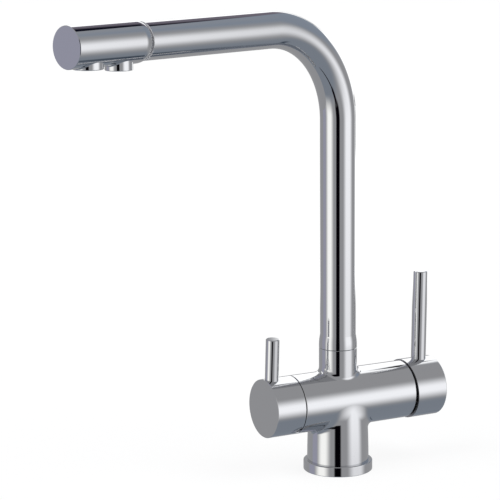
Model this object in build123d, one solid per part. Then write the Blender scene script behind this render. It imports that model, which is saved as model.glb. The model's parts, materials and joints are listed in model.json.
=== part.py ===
"""Three way kitchen tap: a barrel body on a column, an L-shaped swivel spout with two outlets,
a mixer lever on the right and a filtered water lever on the left.

Millimetres. The origin is the centre of the base on the worktop, +Z up, +X along the barrel
towards the mixer lever, -Y towards the user. Each piece is one STEP file in parts/.
"""
from build123d import *
from math import atan2, cos, degrees, radians, sin, sqrt
import os

# ---------------------------------------------------------------- fits and seams
RUNNING_FIT = 0.05          # radial gap of a piece that turns or slides in another
SEATED_FIT = 0.05           # radial gap of a piece that is screwed or pressed into another
AXIAL_PLAY = 0.1            # gap along the axis between faces that turn on each other
HANDLE_SEAM = 0.9           # dark line between the barrel and the filter handle
SPOUT_SEAM = 0.3            # dark line between the riser and the foot of the spout

# ---------------------------------------------------------------- base and column
FLANGE_DIAMETER = 50.0
FLANGE_HEIGHT = 7.3
FLANGE_EDGE_ROUND = 0.8
INLET_BLOCK_DIAMETER = 36.0     # centres the flange
INLET_BLOCK_STUB_DIAMETER = 34.0
INLET_BLOCK_HEIGHT = 15.0
GASKET_DIAMETER = 47.0
GASKET_WIDTH = 3.0
GASKET_THICKNESS = 1.6
COLUMN_FOOT_DIAMETER = 44.6
COLUMN_BOW = 0.35           # how far the side of the column swells beyond a straight taper
COLUMN_BLEND = 4.0          # radius of the cast blend under the barrel
FOOT_CHAMFER = 0.4

# ---------------------------------------------------------------- barrel and riser
BARREL_DIAMETER = 42.0
BARREL_AXIS_HEIGHT = 52.5
BARREL_LEFT_REACH = 38.3
BARREL_RIGHT_REACH = 54.7
BARREL_END_ROUND = 2.5
BARREL_EDGE_CHAMFER = 0.3
RISER_DIAMETER = 27.3
RISER_TOP_HEIGHT = 90.2
RISER_BLEND = 4.0
RISER_EDGE_CHAMFER = 0.25

# ---------------------------------------------------------------- water connections underneath
INLET_RADIUS = 4.5          # tapping hole of an M10 x 1 tail
INLET_DEPTH = 10.0
INLET_CIRCLE_RADIUS = 9.2
STUD_HOLE_RADIUS = 2.5      # tapping hole of an M6 stud
STUD_HOLE_DEPTH = 12.0
STUD_CIRCLE_RADIUS = 13.0
WATERWAY_RADIUS = 2.5

# ---------------------------------------------------------------- mixing cartridge, on the right
CARTRIDGE_DIAMETER = 28.0
CARTRIDGE_SEAT = 22.0       # place of the seat along the barrel
CARTRIDGE_LENGTH = 24.5
CARTRIDGE_WALL = 1.5
CARTRIDGE_BASE = 3.0
CARTRIDGE_LIP = 3.0
CARTRIDGE_MOUTH_RADIUS = 9.5
PORT_CIRCLE_RADIUS = 7.5
PORT_RADIUS = 2.2
SEAL_WIDTH = 1.3
SEAL_THICKNESS = 1.6
SEAL_PROUD = 0.4            # how far a port seal stands out of the cartridge's base
FIXED_DISC_THICKNESS = 3.5
SLIDING_DISC_DIAMETER = 18.6
SLIDING_DISC_THICKNESS = 3.0
DISC_HOLDER_THICKNESS = 3.5
DISC_HOLDER_HALF_WIDTH = 8.6
DRIVE_BALL_RADIUS = 1.8
DRIVE_BALL_GAP = 0.1
DRIVE_NECK_RADIUS = 1.2
CARRIER_LENGTH = 7.4
CARRIER_SLOT_HALF_HEIGHT = 9.0
GUIDE_HALF_HEIGHT = 5.0
GUIDE_THICKNESS = 2.0
GUIDE_SETBACK = 0.6         # from the sliding disc to the guides
STEM_NECK_CLEARANCE = 0.3
STEM_CONE_DEPTH = 2.0       # how far inside the carrier the stem reaches its full width
PIVOT_PLACE = 42.0          # place of the pivot pin along the barrel
PIVOT_RADIUS = 1.5
PIVOT_LENGTH = 20.0
STEM_RADIUS = 4.0
LOCK_NUT_DIAMETER = 33.4
LOCK_NUT_THICKNESS = 3.5
LOCK_NUT_MOUTH_RADIUS = 9.6
SPANNER_HOLE_RADIUS = 1.2
DOME_RADIUS = 21.0          # outer sphere of the cover, centred on the pivot pin
DOME_WALL = 1.5
DOME_MOUTH_RADIUS = 11.5

# ---------------------------------------------------------------- mixer handle
MIXER_HANDLE_DIAMETER = 43.5
MIXER_HANDLE_WALL = 2.0
MIXER_HANDLE_END = 80.7     # place of the flat end along the barrel
MIXER_END_WALL = 4.0
MIXER_RIM_TOP = 55.3        # place of the rim beside the lever
MIXER_RIM_BOTTOM = 57.5     # place of the rim opposite the lever, which leaves room to tilt
MIXER_END_ROUND = 0.7
MIXER_HUB_RADIUS = 7.0
MIXER_STEM_GAP = 2.6        # from the stem to the inside of the flat end
MIXER_LEVER_PLACE = 69.2
MIXER_LEVER_DIAMETER = 10.8
MIXER_LEVER_TOP = 87.3      # length of the lever above the barrel's axis
MIXER_LEAN = 1.6            # degrees that the lever leans towards the user at rest

# ---------------------------------------------------------------- filtered water valve, on the left
VALVE_SEAT = 16.0
VALVE_BODY_RADIUS = 9.0
VALVE_CAVITY_RADIUS = 7.6
VALVE_CAVITY_DEPTH = 8.0
VALVE_SHOULDER = 32.0       # place of the seat of the hexagon
VALVE_HEXAGON = 22.0        # across the flats
VALVE_HEXAGON_LENGTH = 5.0
VALVE_NECK_RADIUS = 6.5
VALVE_NECK_LENGTH = 2.0
VALVE_RECESS_RADIUS = 15.0
VALVE_SEAL_THICKNESS = 1.4
VALVE_DISC_THICKNESS = 2.5
VALVE_PORT_RADIUS = 1.8
VALVE_PORT_OFFSET = 3.7
SPINDLE_RADIUS = 4.0
SPINDLE_END = 56.5
SPINDLE_RING_SECTION = 1.0
SPINDLE_RING_SETBACK = 3.0  # from the seat of the hexagon
GLIDE_RING_DIAMETER = 40.4
GLIDE_RING_WIDTH = 2.2
GLIDE_RING_DEPTH = 1.0

# ---------------------------------------------------------------- filter handle
FILTER_HANDLE_END = 61.9
FILTER_HANDLE_WALL = 2.5
FILTER_END_WALL = 4.0
FILTER_END_CHAMFER = 0.3
FILTER_HUB_RADIUS = 7.5
FILTER_LEVER_PLACE = 55.9
FILTER_LEVER_DIAMETER = 9.7
FILTER_LEVER_TOP = 50.7     # length of the lever above the barrel's axis
FILTER_LEAN = 3.2           # degrees that the lever leans towards the user at rest

# ---------------------------------------------------------------- levers and set screws
LEVER_CHAMFER = 0.5
LEVER_SEAT_DEPTH = 1.6      # how far a lever sinks into the skin of its handle
LEVER_THREAD_RADIUS = 3.0
LEVER_THREAD_LENGTH = 9.0
LEVER_BOSS_WALL = 1.0
SET_SCREW_RADIUS = 2.0
SET_SCREW_LENGTH = 4.5
SET_SCREW_ACCESS_RADIUS = 2.3
HEX_SOCKET = 2.0            # across the flats
HEX_SOCKET_DEPTH = 2.0
FILTER_SCREW_SETBACK = 3.0  # from the start of the hub
MIXER_SCREW_SETBACK = 3.5
HUB_GAP = 1.0               # between a hub and what stands still in front of it

# ---------------------------------------------------------------- spout
SPOUT_TUBE_DIAMETER = 25.6
SPOUT_TUBE_WALL = 1.2
SPOUT_ARM_HEIGHT = 322.5
SPOUT_BEND_RADIUS = 67.8
SPOUT_TUBE_REACH = 180.2    # from the swivel axis to the cut end of the tube
SPOUT_TURN = 14.2           # degrees that the arm stands towards the user at rest
SPOUT_FOOT_HEIGHT = 9.4
SPOUT_FOOT_STRAIGHT = 1.6
FOOT_SPIGOT_HEIGHT = 6.0
SOCKET_RADIUS = 10.0
SOCKET_FLOOR_RISE = 7.5     # from the barrel's axis up to the floor of the swivel socket
NIPPLE_END_GAP = 1.5
NIPPLE_BORE_RADIUS = 7.0
NIPPLE_ENGAGEMENT = 7.0     # length of the nipple inside the foot
O_RING_SECTION = 1.6
O_RING_SIDE_GAP = 0.2       # on each side of an O-ring in its groove
O_RING_FIT = 0.02           # gap that stands for the squeeze of an O-ring
NIPPLE_GROOVE_SHARES = (0.25, 0.6)  # places of the O-rings between the nipple's foot and the screw
SLIP_WASHER_RADIUS = 12.6
SLIP_WASHER_SUNK = 1.0
RETAINING_SETBACK = 8.2     # from the top of the riser down to the retaining screw
RETAINING_GROOVE_DEPTH = 1.6
RETAINING_TIP_RADIUS = 1.3
RETAINING_TIP_GAP = 0.3
RETAINING_SCREW_SUNK = 0.3
FILTER_TUBE_RADIUS = 3.0
FILTER_TUBE_WALL = 0.8
FILTER_SOCKET_DEPTH = 14.0  # below the floor of the swivel socket
FILTER_TUBE_END_GAP = 2.5

# ---------------------------------------------------------------- spout head
HEAD_DIAMETER = 28.0
HEAD_LENGTH = 65.0
HEAD_NECK_RADIUS = 9.0      # bottom of the groove between the tube and the head
HEAD_SHOULDER_LENGTH = 10.0
HEAD_WALL = 2.2
HEAD_SPIGOT_RADIUS = 8.0
HEAD_SPIGOT_LENGTH = 9.0
HEAD_NECK_BORE = 5.5
END_CAP_THICKNESS = 2.0
END_CAP_SPIGOT = 3.0
END_CAP_CHAMFER = 0.3
TUBE_RING_LENGTH = 8.0
OUTLET_BLEND = 0.8
OUTLET_RIM_CHAMFER = 0.4
MIXED_OUTLET_SETBACK = 17.3     # from the flat end of the head
MIXED_OUTLET_DIAMETER = 20.2
MIXED_OUTLET_DROP = 14.9        # from the arm's axis to the rim
FILTERED_OUTLET_SETBACK = 42.8
FILTERED_OUTLET_DIAMETER = 18.4
FILTERED_OUTLET_DROP = 17.3
OUTLET_WALL = 1.5
AERATOR_HOUSING_WALL = 1.4
AERATOR_LENGTH = 7.0
AERATOR_RECESS = 0.8            # how far the grid sits above the rim
AERATOR_GRID_HOLE_RADIUS = 0.9
AERATOR_SEAL_THICKNESS = 1.2
ELBOW_TOP = 5.0                 # above the arm's axis
ELBOW_ARM_RADIUS = 4.8
ELBOW_ARM_LENGTH = 11.0
ELBOW_WALL = 1.6

# ---------------------------------------------------------------- worked out
block_radius = INLET_BLOCK_DIAMETER / 2
block_stub_radius = INLET_BLOCK_STUB_DIAMETER / 2
column_foot_radius = COLUMN_FOOT_DIAMETER / 2
barrel_radius = BARREL_DIAMETER / 2
riser_radius = RISER_DIAMETER / 2
cartridge_radius = CARTRIDGE_DIAMETER / 2
cartridge_end = CARTRIDGE_SEAT + CARTRIDGE_LENGTH
cavity_radius = cartridge_radius - CARTRIDGE_WALL
cartridge_back = CARTRIDGE_SEAT + SEAL_PROUD
fixed_disc_start = cartridge_back + CARTRIDGE_BASE
sliding_disc_start = fixed_disc_start + FIXED_DISC_THICKNESS + RUNNING_FIT
disc_holder_start = sliding_disc_start + SLIDING_DISC_THICKNESS
drive_ball_place = disc_holder_start + DRIVE_BALL_RADIUS + DRIVE_BALL_GAP
disc_holder_end = disc_holder_start + DISC_HOLDER_THICKNESS
seal_radius = PORT_RADIUS + SEAL_WIDTH
carrier_end = cartridge_end - CARTRIDGE_LIP - AXIAL_PLAY
carrier_start = carrier_end - CARRIER_LENGTH
nut_bore_radius = LOCK_NUT_DIAMETER / 2 + SEATED_FIT
lock_nut_end = cartridge_end + LOCK_NUT_THICKNESS
mixer_handle_radius = MIXER_HANDLE_DIAMETER / 2
filter_handle_start = BARREL_LEFT_REACH + HANDLE_SEAM
tube_radius = SPOUT_TUBE_DIAMETER / 2
tube_bore_radius = tube_radius - SPOUT_TUBE_WALL
spout_start_height = RISER_TOP_HEIGHT + SPOUT_SEAM
foot_top_height = spout_start_height + SPOUT_FOOT_HEIGHT
head_radius = HEAD_DIAMETER / 2
head_end = SPOUT_TUBE_REACH + HEAD_LENGTH
head_cavity_radius = head_radius - HEAD_WALL
filter_bore_radius = FILTER_TUBE_RADIUS + RUNNING_FIT
nipple_radius = SOCKET_RADIUS - RUNNING_FIT
socket_floor_height = BARREL_AXIS_HEIGHT + SOCKET_FLOOR_RISE
filter_socket_floor = socket_floor_height - FILTER_SOCKET_DEPTH
filter_tube_start = filter_socket_floor + FILTER_TUBE_END_GAP
nipple_start = socket_floor_height + NIPPLE_END_GAP
retaining_height = RISER_TOP_HEIGHT - RETAINING_SETBACK
retaining_half = RETAINING_TIP_RADIUS + O_RING_SIDE_GAP
groove_span = retaining_height - retaining_half - nipple_start
nipple_grooves = [nipple_start + share * groove_span for share in NIPPLE_GROOVE_SHARES]
nipple_ring_radius = SOCKET_RADIUS - O_RING_FIT - O_RING_SECTION / 2
retaining_floor_radius = nipple_radius - RETAINING_GROOVE_DEPTH
mixer_hub_start = PIVOT_PLACE + DOME_RADIUS + HUB_GAP
mixer_screw_place = mixer_hub_start + MIXER_SCREW_SETBACK
mixer_stem_end = MIXER_HANDLE_END - MIXER_END_WALL - MIXER_STEM_GAP
valve_cavity_end = VALVE_SEAT + VALVE_CAVITY_DEPTH
valve_disc_radius = VALVE_CAVITY_RADIUS - RUNNING_FIT
valve_disc_start = VALVE_SEAT + VALVE_SEAL_THICKNESS
valve_neck_end = VALVE_SHOULDER + VALVE_HEXAGON_LENGTH + VALVE_NECK_LENGTH
spindle_ring_place = VALVE_SHOULDER - SPINDLE_RING_SETBACK
filter_hub_start = valve_neck_end + HUB_GAP
filter_screw_place = filter_hub_start + FILTER_SCREW_SETBACK
turning_disc_start = valve_disc_start + VALVE_DISC_THICKNESS + RUNNING_FIT
spindle_start = turning_disc_start + VALVE_DISC_THICKNESS
spindle_ring_radius = SPINDLE_RADIUS + RUNNING_FIT - O_RING_FIT - SPINDLE_RING_SECTION / 2
glide_outer_radius = GLIDE_RING_DIAMETER / 2
glide_inner_radius = glide_outer_radius - GLIDE_RING_WIDTH
head_cavity_start = SPOUT_TUBE_REACH + HEAD_SHOULDER_LENGTH + HEAD_WALL
outlets = (
    (head_end - MIXED_OUTLET_SETBACK, MIXED_OUTLET_DIAMETER / 2, MIXED_OUTLET_DROP),
    (head_end - FILTERED_OUTLET_SETBACK, FILTERED_OUTLET_DIAMETER / 2, FILTERED_OUTLET_DROP),
)
filter_tube_reach = outlets[1][0] - FILTER_TUBE_RADIUS


def on_circle(radius, angle):
    """Point on a circle about the column's axis, at an angle in degrees."""
    return radius * cos(radians(angle)), radius * sin(radians(angle))


hot_inlet = on_circle(INLET_CIRCLE_RADIUS, 60)
cold_inlet = on_circle(INLET_CIRCLE_RADIUS, -60)
filter_inlet = on_circle(INLET_CIRCLE_RADIUS, 180)
stud_places = [on_circle(STUD_CIRCLE_RADIUS, angle) for angle in (-120, 120)]

# Local frames. In BARREL, z runs along the barrel to the right, x points up and y to the user.
# In FILTER_SIDE, z runs along the barrel to the left. In ARM, z runs along the arm, x points up.
BARREL = Pos(0, 0, BARREL_AXIS_HEIGHT) * Rot(0, 90, 0) * Rot(0, 0, 180)
FILTER_SIDE = Pos(0, 0, BARREL_AXIS_HEIGHT) * Rot(0, -90, 0)
MIXER = BARREL * Rot(0, 0, MIXER_LEAN)
FILTER = FILTER_SIDE * Rot(0, 0, -FILTER_LEAN)
SPOUT = Rot(0, 0, SPOUT_TURN)
ARM = SPOUT * Pos(0, 0, SPOUT_ARM_HEIGHT) * Rot(0, -90, 0)
PIVOT = Pos(0, 0, PIVOT_PLACE) * Rot(90, 0, 0)
RETAINING = Pos(0, 0, retaining_height) * Rot(-90, 0, 0)

BOTTOM = (Align.CENTER, Align.CENTER, Align.MIN)


# ---------------------------------------------------------------- shared shapes
def rod(radius, start, end):
    """Round bar on the local Z axis."""
    return Pos(0, 0, start) * Cylinder(radius, end - start, align=BOTTOM)


def sleeve(outer_radius, inner_radius, start, end):
    """Round bar with a through bore on the local Z axis."""
    return turned(
        (inner_radius, start), (outer_radius, start), (outer_radius, end), (inner_radius, end)
    )


def turned(*corners):
    """Solid turned about the local Z axis from its (radius, height) corners."""
    outline = Polyline(*corners, close=True)
    return revolve(Plane.XZ * make_face(outline), Axis.Z)


def o_ring(centre_radius, section_radius, height):
    """Rubber ring of round section about the local Z axis."""
    return Pos(0, 0, height) * Torus(centre_radius, section_radius)


def radial_rod(radius, start, end, place, direction=1):
    """Round bar across the local Z axis at a place on it, on the local +X or -X side."""
    return Pos(0, 0, place) * Rot(0, 90 * direction, 0) * rod(radius, start, end)


def round_edges(solid, radius, height):
    """Fillet the circular edges of a turned solid that lie at a height on its axis."""
    edges = [edge for edge in solid.edges().filter_by(GeomType.CIRCLE)
             if abs(edge.center().Z - height) < 0.01 and edge.length > 2 * radius]
    outermost = max(edges, key=lambda edge: edge.radius)
    return fillet(outermost, radius)


def bevel_edge(solid, size, height):
    """Chamfer the outermost circular edge of a turned solid at a height on its axis."""
    edges = [edge for edge in solid.edges().filter_by(GeomType.CIRCLE)
             if abs(edge.center().Z - height) < 0.01]
    outermost = max(edges, key=lambda edge: edge.radius)
    return chamfer(outermost, size)


def set_screw(start, length):
    """Socket set screw along local Z, with its hexagon socket at the far end."""
    screw = rod(SET_SCREW_RADIUS, start, start + length)
    socket_floor = start + length - HEX_SOCKET_DEPTH
    hexagon = RegularPolygon(HEX_SOCKET / 2, 6, major_radius=False)
    return screw - Pos(0, 0, socket_floor) * extrude(hexagon, HEX_SOCKET_DEPTH)


# ---------------------------------------------------------------- body
def outer_body():
    """Column, barrel and riser as one polished casting, before it is bored."""
    column_top_radius = barrel_radius - 0.3
    middle_height = (FLANGE_HEIGHT + BARREL_AXIS_HEIGHT) / 2
    middle_radius = (column_foot_radius + column_top_radius) / 2 + COLUMN_BOW
    side = ThreePointArc(
        (column_foot_radius, FLANGE_HEIGHT),
        (middle_radius, middle_height),
        (column_top_radius, BARREL_AXIS_HEIGHT),
    )
    rest = Polyline(
        (column_top_radius, BARREL_AXIS_HEIGHT), (0, BARREL_AXIS_HEIGHT),
        (0, FLANGE_HEIGHT), (column_foot_radius, FLANGE_HEIGHT),
    )
    column = revolve(Plane.XZ * make_face(side + rest), Axis.Z)
    barrel = rod(barrel_radius, -BARREL_LEFT_REACH, BARREL_RIGHT_REACH)
    barrel = round_edges(barrel, BARREL_END_ROUND, BARREL_RIGHT_REACH)
    barrel = bevel_edge(barrel, BARREL_EDGE_CHAMFER, -BARREL_LEFT_REACH)
    barrel = BARREL * barrel
    body = column + barrel
    body = fillet(new_edges(column, barrel, combined=body), COLUMN_BLEND)
    riser = bevel_edge(
        rod(riser_radius, BARREL_AXIS_HEIGHT, RISER_TOP_HEIGHT), RISER_EDGE_CHAMFER, RISER_TOP_HEIGHT
    )
    taller = body + riser
    return fillet(new_edges(body, riser, combined=taller), RISER_BLEND)


def body_casting():
    """The casting with its bores and waterways."""
    body = outer_body() - rod(block_stub_radius + SEATED_FIT, FLANGE_HEIGHT, INLET_BLOCK_HEIGHT)

    mixer_bores = rod(cartridge_radius + SEATED_FIT, CARTRIDGE_SEAT, cartridge_end)
    mixer_bores += rod(nut_bore_radius, cartridge_end, BARREL_RIGHT_REACH)
    body -= BARREL * mixer_bores

    valve_bores = rod(VALVE_BODY_RADIUS + SEATED_FIT, VALVE_SEAT, VALVE_SHOULDER)
    valve_bores += rod(VALVE_RECESS_RADIUS, VALVE_SHOULDER, BARREL_LEFT_REACH)
    valve_bores += sleeve(
        glide_outer_radius + SEATED_FIT, glide_inner_radius - SEATED_FIT,
        BARREL_LEFT_REACH - GLIDE_RING_DEPTH, BARREL_LEFT_REACH,
    )
    body -= FILTER_SIDE * valve_bores

    body -= rod(SOCKET_RADIUS, socket_floor_height, RISER_TOP_HEIGHT)
    body -= rod(SLIP_WASHER_RADIUS + SEATED_FIT, RISER_TOP_HEIGHT - SLIP_WASHER_SUNK, RISER_TOP_HEIGHT)
    body -= rod(filter_bore_radius, filter_socket_floor, socket_floor_height)
    body -= RETAINING * rod(SET_SCREW_RADIUS + SEATED_FIT, nipple_radius, riser_radius + 1)

    # hot and cold rise beside the swivel and turn towards the seat of the cartridge
    for (x, y), port_angle in ((hot_inlet, 240), (cold_inlet, 120)):
        port_drop = PORT_CIRCLE_RADIUS * cos(radians(port_angle))
        port_side = PORT_CIRCLE_RADIUS * sin(radians(port_angle))
        crossing = BARREL_AXIS_HEIGHT + port_drop
        body -= Pos(x, y) * rod(WATERWAY_RADIUS, INLET_BLOCK_HEIGHT, crossing)
        body -= BARREL * Pos(port_drop, port_side) * rod(WATERWAY_RADIUS, x, CARTRIDGE_SEAT)
    # mixed water leaves at the top of the seat and enters the swivel socket
    mixed_way = rod(WATERWAY_RADIUS, SOCKET_RADIUS - WATERWAY_RADIUS, CARTRIDGE_SEAT)
    body -= BARREL * Pos(PORT_CIRCLE_RADIUS, 0) * mixed_way
    # filtered water rises to the lower port of its valve and leaves by the upper one
    feed_height = BARREL_AXIS_HEIGHT - VALVE_PORT_OFFSET
    body -= Pos(*filter_inlet) * rod(WATERWAY_RADIUS, INLET_BLOCK_HEIGHT, feed_height)
    body -= FILTER_SIDE * Pos(-VALVE_PORT_OFFSET, 0) * rod(VALVE_PORT_RADIUS, -filter_inlet[0], VALVE_SEAT)
    body -= FILTER_SIDE * Pos(VALVE_PORT_OFFSET, 0) * rod(VALVE_PORT_RADIUS, 0, VALVE_SEAT)
    return body


def inlet_block():
    """Brass block screwed into the column's foot, tapped for three tails and two studs."""
    block = rod(block_radius, 0, FLANGE_HEIGHT)
    block += rod(block_stub_radius, FLANGE_HEIGHT, INLET_BLOCK_HEIGHT)
    for x, y in (hot_inlet, cold_inlet, filter_inlet):
        block -= Pos(x, y) * rod(INLET_RADIUS, 0, INLET_DEPTH)
        block -= Pos(x, y) * rod(WATERWAY_RADIUS, INLET_DEPTH, INLET_BLOCK_HEIGHT)
    for x, y in stud_places:
        block -= Pos(x, y) * rod(STUD_HOLE_RADIUS, 0, STUD_HOLE_DEPTH)
    return block


def base_flange():
    """Round base plate that the column stands on, grooved underneath for its gasket."""
    outer_radius = FLANGE_DIAMETER / 2
    flange = sleeve(outer_radius, block_radius + SEATED_FIT, 0, FLANGE_HEIGHT)
    flange = round_edges(flange, FLANGE_EDGE_ROUND, FLANGE_HEIGHT)
    flange = bevel_edge(flange, FOOT_CHAMFER, 0)
    groove = sleeve(
        GASKET_DIAMETER / 2 + SEATED_FIT, GASKET_DIAMETER / 2 - GASKET_WIDTH - SEATED_FIT,
        0, GASKET_THICKNESS,
    )
    return flange - groove


def base_gasket():
    """Rubber ring in the groove of the base plate."""
    return sleeve(GASKET_DIAMETER / 2, GASKET_DIAMETER / 2 - GASKET_WIDTH, 0, GASKET_THICKNESS)


# ---------------------------------------------------------------- mixing cartridge
def port_places():
    """The outlet port above and the two feed ports below, seen from the cartridge."""
    for angle in (0, 120, 240):
        yield PORT_CIRCLE_RADIUS * cos(radians(angle)), PORT_CIRCLE_RADIUS * sin(radians(angle))


def cartridge_housing():
    """Moulded sleeve with a ported base and an inward lip."""
    housing = rod(cartridge_radius, cartridge_back, cartridge_end)
    housing -= rod(cavity_radius, fixed_disc_start, cartridge_end - CARTRIDGE_LIP)
    housing -= rod(CARTRIDGE_MOUTH_RADIUS, cartridge_end - CARTRIDGE_LIP, cartridge_end)
    seal_pocket_end = CARTRIDGE_SEAT + SEAL_THICKNESS
    for x, y in port_places():
        housing -= Pos(x, y) * rod(PORT_RADIUS, cartridge_back, fixed_disc_start)
        housing -= Pos(x, y) * rod(seal_radius + SEATED_FIT, cartridge_back, seal_pocket_end)
    return BARREL * housing


def cartridge_port_seals():
    """Three rubber rings between the seat and the cartridge."""
    seals = []
    for x, y in port_places():
        ring = sleeve(seal_radius, PORT_RADIUS, CARTRIDGE_SEAT, CARTRIDGE_SEAT + SEAL_THICKNESS)
        seals.append(BARREL * Pos(x, y) * ring)
    return Compound(seals)


def fixed_ceramic_disc():
    """Ported ceramic disc, keyed in the base of the cartridge."""
    disc = rod(cavity_radius - SEATED_FIT, fixed_disc_start, fixed_disc_start + FIXED_DISC_THICKNESS)
    for x, y in port_places():
        disc -= Pos(x, y) * rod(PORT_RADIUS, fixed_disc_start, fixed_disc_start + FIXED_DISC_THICKNESS)
    return BARREL * disc


def sliding_ceramic_disc():
    """Ceramic disc whose hollow joins the ports as it slides and turns."""
    radius = SLIDING_DISC_DIAMETER / 2
    disc = rod(radius, sliding_disc_start, disc_holder_start)
    hollow_depth = SLIDING_DISC_THICKNESS / 2
    disc -= rod(radius - 2 * CARTRIDGE_WALL, sliding_disc_start, sliding_disc_start + hollow_depth)
    return MIXER * disc


def disc_holder():
    """Slide that carries the ceramic disc between the carrier's guides."""
    holder = rod(SLIDING_DISC_DIAMETER / 2, disc_holder_start, disc_holder_end)
    flats = Box(SLIDING_DISC_DIAMETER, 2 * DISC_HOLDER_HALF_WIDTH, DISC_HOLDER_THICKNESS, align=BOTTOM)
    holder &= Pos(0, 0, disc_holder_start) * flats
    holder -= rod(DRIVE_BALL_RADIUS + DRIVE_BALL_GAP, disc_holder_start, disc_holder_end)
    return MIXER * holder


def mixer_carrier():
    """Turning core of the cartridge: it holds the pivot pin and guides the disc holder."""
    carrier = rod(cavity_radius - RUNNING_FIT, carrier_start, carrier_end)
    guide_length = carrier_start - disc_holder_start - GUIDE_SETBACK
    guide_middle = DISC_HOLDER_HALF_WIDTH + AXIAL_PLAY + GUIDE_THICKNESS / 2
    guide = Box(2 * GUIDE_HALF_HEIGHT, GUIDE_THICKNESS, guide_length + SEATED_FIT, align=BOTTOM)
    for side in (-1, 1):
        carrier += Pos(0, side * guide_middle, disc_holder_start + GUIDE_SETBACK) * guide
    slot = Box(2 * CARRIER_SLOT_HALF_HEIGHT, 2 * (STEM_RADIUS + RUNNING_FIT), CARRIER_LENGTH, align=BOTTOM)
    carrier -= Pos(0, 0, carrier_start) * slot
    carrier -= PIVOT * rod(PIVOT_RADIUS + SEATED_FIT, -cavity_radius, cavity_radius)
    return MIXER * carrier


def mixer_pivot_pin():
    """Steel pin across the carrier on which the stem tilts."""
    return MIXER * PIVOT * rod(PIVOT_RADIUS, -PIVOT_LENGTH / 2, PIVOT_LENGTH / 2)


def mixer_stem():
    """Tilting stem: a ball that drives the disc holder, a cone and a round shank."""
    stem = turned(
        (0, drive_ball_place), (DRIVE_NECK_RADIUS, drive_ball_place),
        (DRIVE_NECK_RADIUS, disc_holder_end + STEM_NECK_CLEARANCE),
        (STEM_RADIUS, carrier_start + STEM_CONE_DEPTH),
        (STEM_RADIUS, mixer_stem_end), (0, mixer_stem_end),
    )
    stem += Pos(0, 0, drive_ball_place) * Sphere(DRIVE_BALL_RADIUS)
    stem -= PIVOT * rod(PIVOT_RADIUS + RUNNING_FIT, -cavity_radius, cavity_radius)
    return MIXER * stem


def cartridge_lock_nut():
    """Brass ring nut that holds the cartridge on its seat, with two spanner holes."""
    nut = sleeve(LOCK_NUT_DIAMETER / 2, LOCK_NUT_MOUTH_RADIUS, cartridge_end, lock_nut_end)
    hole_circle = (LOCK_NUT_DIAMETER / 2 + LOCK_NUT_MOUTH_RADIUS) / 2
    for side in (-1, 1):
        nut -= Pos(0, side * hole_circle) * rod(SPANNER_HOLE_RADIUS, cartridge_end, lock_nut_end)
    return BARREL * nut


def dome_cover():
    """Polished cover screwed into the barrel's end, part of a sphere about the pivot pin."""
    skirt_radius = LOCK_NUT_DIAMETER / 2
    skirt_bore = skirt_radius - DOME_WALL
    outside = sphere_arc(DOME_RADIUS, skirt_radius, DOME_MOUTH_RADIUS)
    inside = sphere_arc(DOME_RADIUS - DOME_WALL, DOME_MOUTH_RADIUS, skirt_bore)
    mouth = Line(outside @ 1, inside @ 0)
    skirt = Polyline(inside @ 1, (skirt_bore, lock_nut_end), (skirt_radius, lock_nut_end), outside @ 0)
    return BARREL * revolve(Plane.XZ * make_face(outside + mouth + inside + skirt), Axis.Z)


def sphere_arc(sphere_radius, from_radius, to_radius):
    """Outline of a sphere about the pivot pin between two distances from the barrel's axis."""
    distances = (from_radius, (from_radius + to_radius) / 2, to_radius)
    return ThreePointArc(*[(r, PIVOT_PLACE + sqrt(sphere_radius**2 - r**2)) for r in distances])


# ---------------------------------------------------------------- handles
def handle_cap(radius, wall, rim_top, rim_bottom, end, end_wall, hub_radius, hub_start, bore_end,
               lever_place, lever_radius, screw_place):
    """Hollow round handle: a skin, a flat end, a hub for the stem and a boss for the lever.

    Its rim is cut on a slant from rim_top beside the lever to rim_bottom opposite it.
    """
    inner_radius = radius - wall
    inner_end = end - end_wall
    seat = radius - LEVER_SEAT_DEPTH
    cap = rod(radius, rim_top, end) - rod(inner_radius, rim_top, inner_end)
    cap += rod(hub_radius, hub_start, inner_end + wall / 2)
    boss = radial_rod(lever_radius + LEVER_BOSS_WALL, 0, radius, lever_place)
    cap += boss & rod(radius - wall / 2, hub_start, inner_end + wall / 2)
    if rim_bottom > rim_top:
        slant = degrees(atan2(rim_bottom - rim_top, 2 * radius))
        waste = Box(4 * radius, 4 * radius, 2 * radius, align=(Align.CENTER, Align.CENTER, Align.MAX))
        cap -= Pos(0, 0, (rim_top + rim_bottom) / 2) * Rot(0, slant, 0) * waste
    cap -= rod(STEM_RADIUS + SEATED_FIT, hub_start, bore_end)
    cap -= radial_rod(lever_radius + SEATED_FIT, seat, radius + 1, lever_place)
    cap -= radial_rod(LEVER_THREAD_RADIUS + SEATED_FIT, seat - LEVER_THREAD_LENGTH, seat, lever_place)
    cap -= radial_rod(SET_SCREW_RADIUS + SEATED_FIT, 0, hub_radius + 1, screw_place, -1)
    cap -= radial_rod(SET_SCREW_ACCESS_RADIUS, inner_radius - 1, radius + 1, screw_place, -1)
    return cap


def lever(handle_radius, lever_radius, top, place):
    """Straight round lever with a threaded end, standing in the skin of its handle."""
    seat = handle_radius - LEVER_SEAT_DEPTH
    pin = bevel_edge(rod(lever_radius, seat, top), LEVER_CHAMFER, top)
    pin += rod(LEVER_THREAD_RADIUS, seat - LEVER_THREAD_LENGTH, seat)
    return Pos(0, 0, place) * Rot(0, 90, 0) * pin


def handle_set_screw(place):
    """Set screw that clamps a hub on its stem, on the side away from the lever."""
    return Pos(0, 0, place) * Rot(0, -90, 0) * set_screw(STEM_RADIUS, SET_SCREW_LENGTH)


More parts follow.
